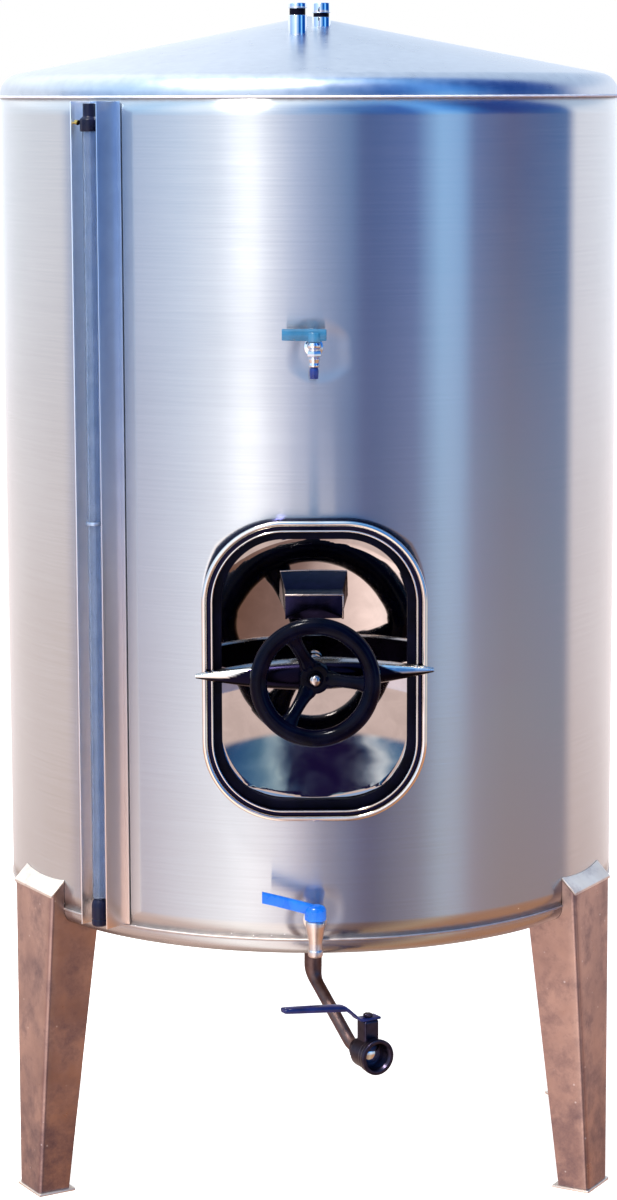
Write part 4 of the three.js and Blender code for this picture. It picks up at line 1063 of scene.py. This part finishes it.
# Bands of the world from under the tank to overhead: the two heights in degrees between which each
# takes over from the one below, and its tones by azimuth in degrees, from the front towards +X
WORLD_BANDS = [
    ((), [
        (-180, "98867c"), (-100, "bc9c8e"), (-66, "c4a89c"), (-30, "fcf0e8"), (-12, "f4e0d8"),
        (4, "806a64"), (22, "684c40"), (50, "a4886c"), (64, "9c7054"), (110, "a07052"),
        (180, "98867c")]),
    ((-18.5, -10.5), [
        (-180, "ccc2c2"), (-104, "ccb8ae"), (-98, "a89a9c"), (-66, "c4bac2"), (-23, "ece6ec"),
        (-3, "c0b4c0"), (16, "7a788e"), (24, "727886"), (40, "8a909a"), (52, "b2b8c0"),
        (68, "98a4a8"), (109, "808c96"), (115, "ccbcb8"), (180, "ccc2c2")]),
    ((-8, -2), [
        (-180, "d0d4da"), (-104, "c8ced8"), (-98, "7c98c0"), (-48, "a6c2e0"), (-20, "dae2ee"),
        (-6, "94aed0"), (14, "4c7aac"), (19, "0e4686"), (38, "0c54a0"), (48, "7cbaee"),
        (56, "6caae2"), (62, "145098"), (78, "002a72"), (109, "145694"), (115, "d0d4de"),
        (180, "ccd2da")]),
    ((9, 24), [
        (-180, "c0cad8"), (-150, "f4f7fa"), (-106, "d0deee"), (-70, "9cc2e4"), (-48, "dce8f4"),
        (-20, "dce4f0"), (0, "6c94c4"), (15, "2460a0"), (36, "0c489a"), (48, "62a6ea"),
        (58, "347ecc"), (72, "00206a"), (108, "003c88"), (118, "a4b4c8"), (180, "aab8ca")]),
    ((45, 70), [
        (-180, "e6ecf4"), (-106, "b4d2ee"), (-60, "a8cce8"), (-35, "f0f6fc"), (-5, "d8e8f6"),
        (30, "68a4da"), (55, "5c9cd6"), (100, "2c68ae"), (125, "a8b8cc"), (180, "b4c0d0")])]


def studio_world():
    """World that mirrors see as the bands above, blended by height. What is matt gets one even
    tone from all round, and the camera sees plain white."""
    world = bpy.data.worlds.new("studio")
    bpy.context.scene.world = world
    world.use_nodes = True
    tree = world.node_tree
    tree.nodes.clear()
    place = add_node(tree, "TexCoord")
    xyz = add_node(tree, "SeparateXYZ", {"Vector": (place, "Generated")})
    front = add_node(tree, "Math", {0: (xyz, "Y"), 1: -1.0}, operation="MULTIPLY")
    compass = add_node(tree, "Math", {0: (xyz, "X"), 1: (front, "Value")}, operation="ARCTAN2")
    share = add_node(tree, "MapRange", {
        "Value": (compass, "Value"), "From Min": -math.pi, "From Max": math.pi})
    height = add_node(tree, "Math", {0: (xyz, "Z")}, operation="ARCSINE")
    around = None
    for rise, tones in WORLD_BANDS:
        stops = [((azimuth + 180) / 360, code) for azimuth, code in tones]
        band = add_node(tree, "ValToRGB", {"Fac": (share, "Result")}, stops), "Color"
        if rise:
            low, high = map(math.radians, rise)
            risen = add_node(tree, "MapRange", {
                "Value": (height, "Value"), "From Min": low, "From Max": high},
                interpolation_type="SMOOTHSTEP")
            band = add_node(tree, "Mix", {
                "Factor": (risen, "Result"), MIX_FROM: around, MIX_TO: band}, data_type="RGBA"), MIXED
        around = band
    path = add_node(tree, "LightPath")
    bands = add_node(tree, "Background", {"Color": around, "Strength": SURROUNDINGS})
    softbox = add_node(tree, "Background", {"Color": linear("f4f5f8"), "Strength": 0.6})
    backdrop = add_node(tree, "Background", {"Color": linear("ffffff"), "Strength": 1.0})
    for_diffuse = add_node(tree, "MixShader", {
        "Fac": (path, "Is Diffuse Ray"), 1: (bands, "Background"), 2: (softbox, "Background")})
    for_camera = add_node(tree, "MixShader", {
        "Fac": (path, "Is Camera Ray"), 1: (for_diffuse, "Shader"), 2: (backdrop, "Background")})
    add_node(tree, "OutputWorld", {"Surface": (for_camera, "Shader")})


def area_light(name, azimuth, elevation, distance, size, power, colour):
    """Square light facing the middle of the tank, from an azimuth towards +X and an elevation."""
    data = bpy.data.lights.new(name, "AREA")
    data.size = size
    data.energy = power
    data.color = linear(colour)[:3]
    light = bpy.data.objects.new(name, data)
    bpy.context.scene.collection.objects.link(light)
    a, e = math.radians(azimuth), math.radians(elevation)
    back = np.array([math.sin(a) * math.cos(e), -math.cos(a) * math.cos(e), math.sin(e)])
    target = np.array([0, AXIS_Y * MM, 1.0])
    light.location = target + back * distance
    light.rotation_euler = Vector(-back).to_track_quat("-Z", "Y").to_euler()


def studio_sheet(name, corners, material):
    """Flat sheet of the studio between four corners, in metres."""
    mesh = bpy.data.meshes.new(name)
    mesh.from_pydata(corners, [], [(0, 1, 2, 3)])
    mesh.materials.append(material)
    sheet = bpy.data.objects.new(name, mesh)
    bpy.context.scene.collection.objects.link(sheet)
    return sheet


def floor_paint():
    """Matt pale paint, faintly clouded, that shines a little so that the floor stays white."""
    material, tree, shader, place = new_material(
        "pale_studio_floor", Roughness=0.9, Emission_Color=linear("ffffff"), Emission_Strength=0.85)
    cloud = add_node(tree, "TexNoise", {"Vector": place, "Scale": 3.0, "Detail": 2.0})
    tone = add_node(tree, "ValToRGB", {"Fac": (cloud, "Fac")}, [(0.3, "f6f6f6"), (0.7, "fbfbfb")])
    return finished(material, tree, shader, (tone, "Color"), None, None)


CARD_Y, CARD_LOW, CARD_HIGH, CARD_HALF = WALL_Y - 0.6, 0.775, 1.04, 0.12
OVAL_X, OVAL_Z, OVAL_WIDE, OVAL_HIGH = 0.007, 0.946, 0.032, 0.094
STRIPES_HALF, WAVER = 0.019, 0.0025


def card_glow():
    """Beige glow with an upright dark oval |(x/a, z/b)| < 1, in stripes whose edges waver."""
    material, tree, shader, place = new_material(
        "lit_studio_card", Roughness=0.9, Emission_Strength=SURROUNDINGS,
        Base_Color=linear("000000"), Specular_IOR_Level=0.0)
    wave = add_node(tree, "TexNoise", {"Vector": place, "Scale": 40.0, "Detail": 2.0})
    shift = add_node(tree, "MapRange", {"Value": (wave, "Fac"), "To Min": -WAVER, "To Max": WAVER})
    across = add_node(tree, "SeparateXYZ", {"Vector": place})
    at = add_node(tree, "Math", {0: (across, "X"), 1: (shift, "Result")}, operation="ADD")
    span = add_node(tree, "MapRange", {
        "Value": (at, "Value"), "From Min": OVAL_X - STRIPES_HALF, "From Max": OVAL_X + STRIPES_HALF})
    stripes = add_node(tree, "ValToRGB", {"Fac": (span, "Result")}, [
        (0.0, "101c44"), (0.1, "2c5480"), (0.2, "3c6a90"), (0.25, "e0ecf0"), (0.29, "2c4468"),
        (0.33, "140c30"), (0.6, "140c30"), (0.65, "2c4468"), (0.69, "a8c4cc"), (0.74, "48708c"),
        (0.86, "2c5480"), (1.0, "101c44")])
    oval = add_node(tree, "Mapping", {
        "Vector": place, "Location": (-OVAL_X / OVAL_WIDE, -CARD_Y / OVAL_HIGH, -OVAL_Z / OVAL_HIGH),
        "Scale": (1 / OVAL_WIDE, 1 / OVAL_HIGH, 1 / OVAL_HIGH)})
    far = add_node(tree, "VectorMath", {0: (oval, "Vector")}, operation="LENGTH")
    outside = add_node(tree, "MapRange", {"Value": (far, "Value"), "From Min": 0.97, "From Max": 1.03})
    colour = add_node(tree, "Mix", {
        "Factor": (outside, "Result"), MIX_FROM: (stripes, "Color"), MIX_TO: linear("c4b4ae")},
        data_type="RGBA")
    tree.links.new(colour.outputs[MIXED], shader.inputs["Emission Color"])
    material.cycles.emission_sampling = "NONE"
    return material


studio_world()
area_light("key_light", azimuth=-32, elevation=58, distance=6.0, size=0.9, power=460, colour="fffaf4")

studio_floor = studio_sheet("studio_floor", [(-60, -60, 0), (60, -60, 0), (60, 60, 0), (-60, 60, 0)],
                            floor_paint())
studio_floor.visible_glossy = False

# Card hung in front of the door and seen only in what is polished there: a beige field with a dark
# striped oval, which the door's dish bends and stretches
studio_card = studio_sheet("studio_card", [
    (-CARD_HALF, CARD_Y, CARD_LOW), (-CARD_HALF, CARD_Y, CARD_HIGH), (CARD_HALF, CARD_Y, CARD_HIGH),
    (CARD_HALF, CARD_Y, CARD_LOW)], card_glow())
studio_card.visible_camera = False
studio_card.visible_diffuse = False
studio_card.visible_shadow = False

# Camera of the photograph, found from the shell's outline, its seams and the feet: its place in mm,
# its angles in radians, and how far its frame is shifted sideways, in pixels
CAMERA_AT = (-57.9, -5106.5, 1727.1)
CAMERA_HEADING, CAMERA_PITCH, CAMERA_ROLL = 0.01134, math.radians(9.11), math.radians(-0.152)
FOCAL_LENGTH, SENSOR_WIDTH = 95.107, 36.0
FRAME_SHIFT, FRAME_HEIGHT = -1.97, 1200
lens = bpy.data.cameras.new("camera")
lens.sensor_width = SENSOR_WIDTH
lens.lens = FOCAL_LENGTH
lens.shift_x = FRAME_SHIFT / FRAME_HEIGHT
lens.clip_end = 200.0
camera = bpy.data.objects.new("camera", lens)
bpy.context.scene.collection.objects.link(camera)
level = np.array([math.sin(CAMERA_HEADING), math.cos(CAMERA_HEADING), 0])
across = np.array([math.cos(CAMERA_HEADING), -math.sin(CAMERA_HEADING), 0])
ahead = level * math.cos(CAMERA_PITCH) - np.array([0, 0, math.sin(CAMERA_PITCH)])
upright = np.cross(across, ahead)
right = across * math.cos(CAMERA_ROLL) + upright * math.sin(CAMERA_ROLL)
upward = upright * math.cos(CAMERA_ROLL) - across * math.sin(CAMERA_ROLL)
placed = np.eye(4)
placed[:3, 0], placed[:3, 1], placed[:3, 2] = right, upward, -ahead
placed[:3, 3] = (np.array(CAMERA_AT) + [0, AXIS_Y, 0]) * MM
camera.matrix_world = Matrix(placed.tolist())
bpy.context.scene.camera = camera
bpy.context.scene.view_settings.view_transform = "Standard"
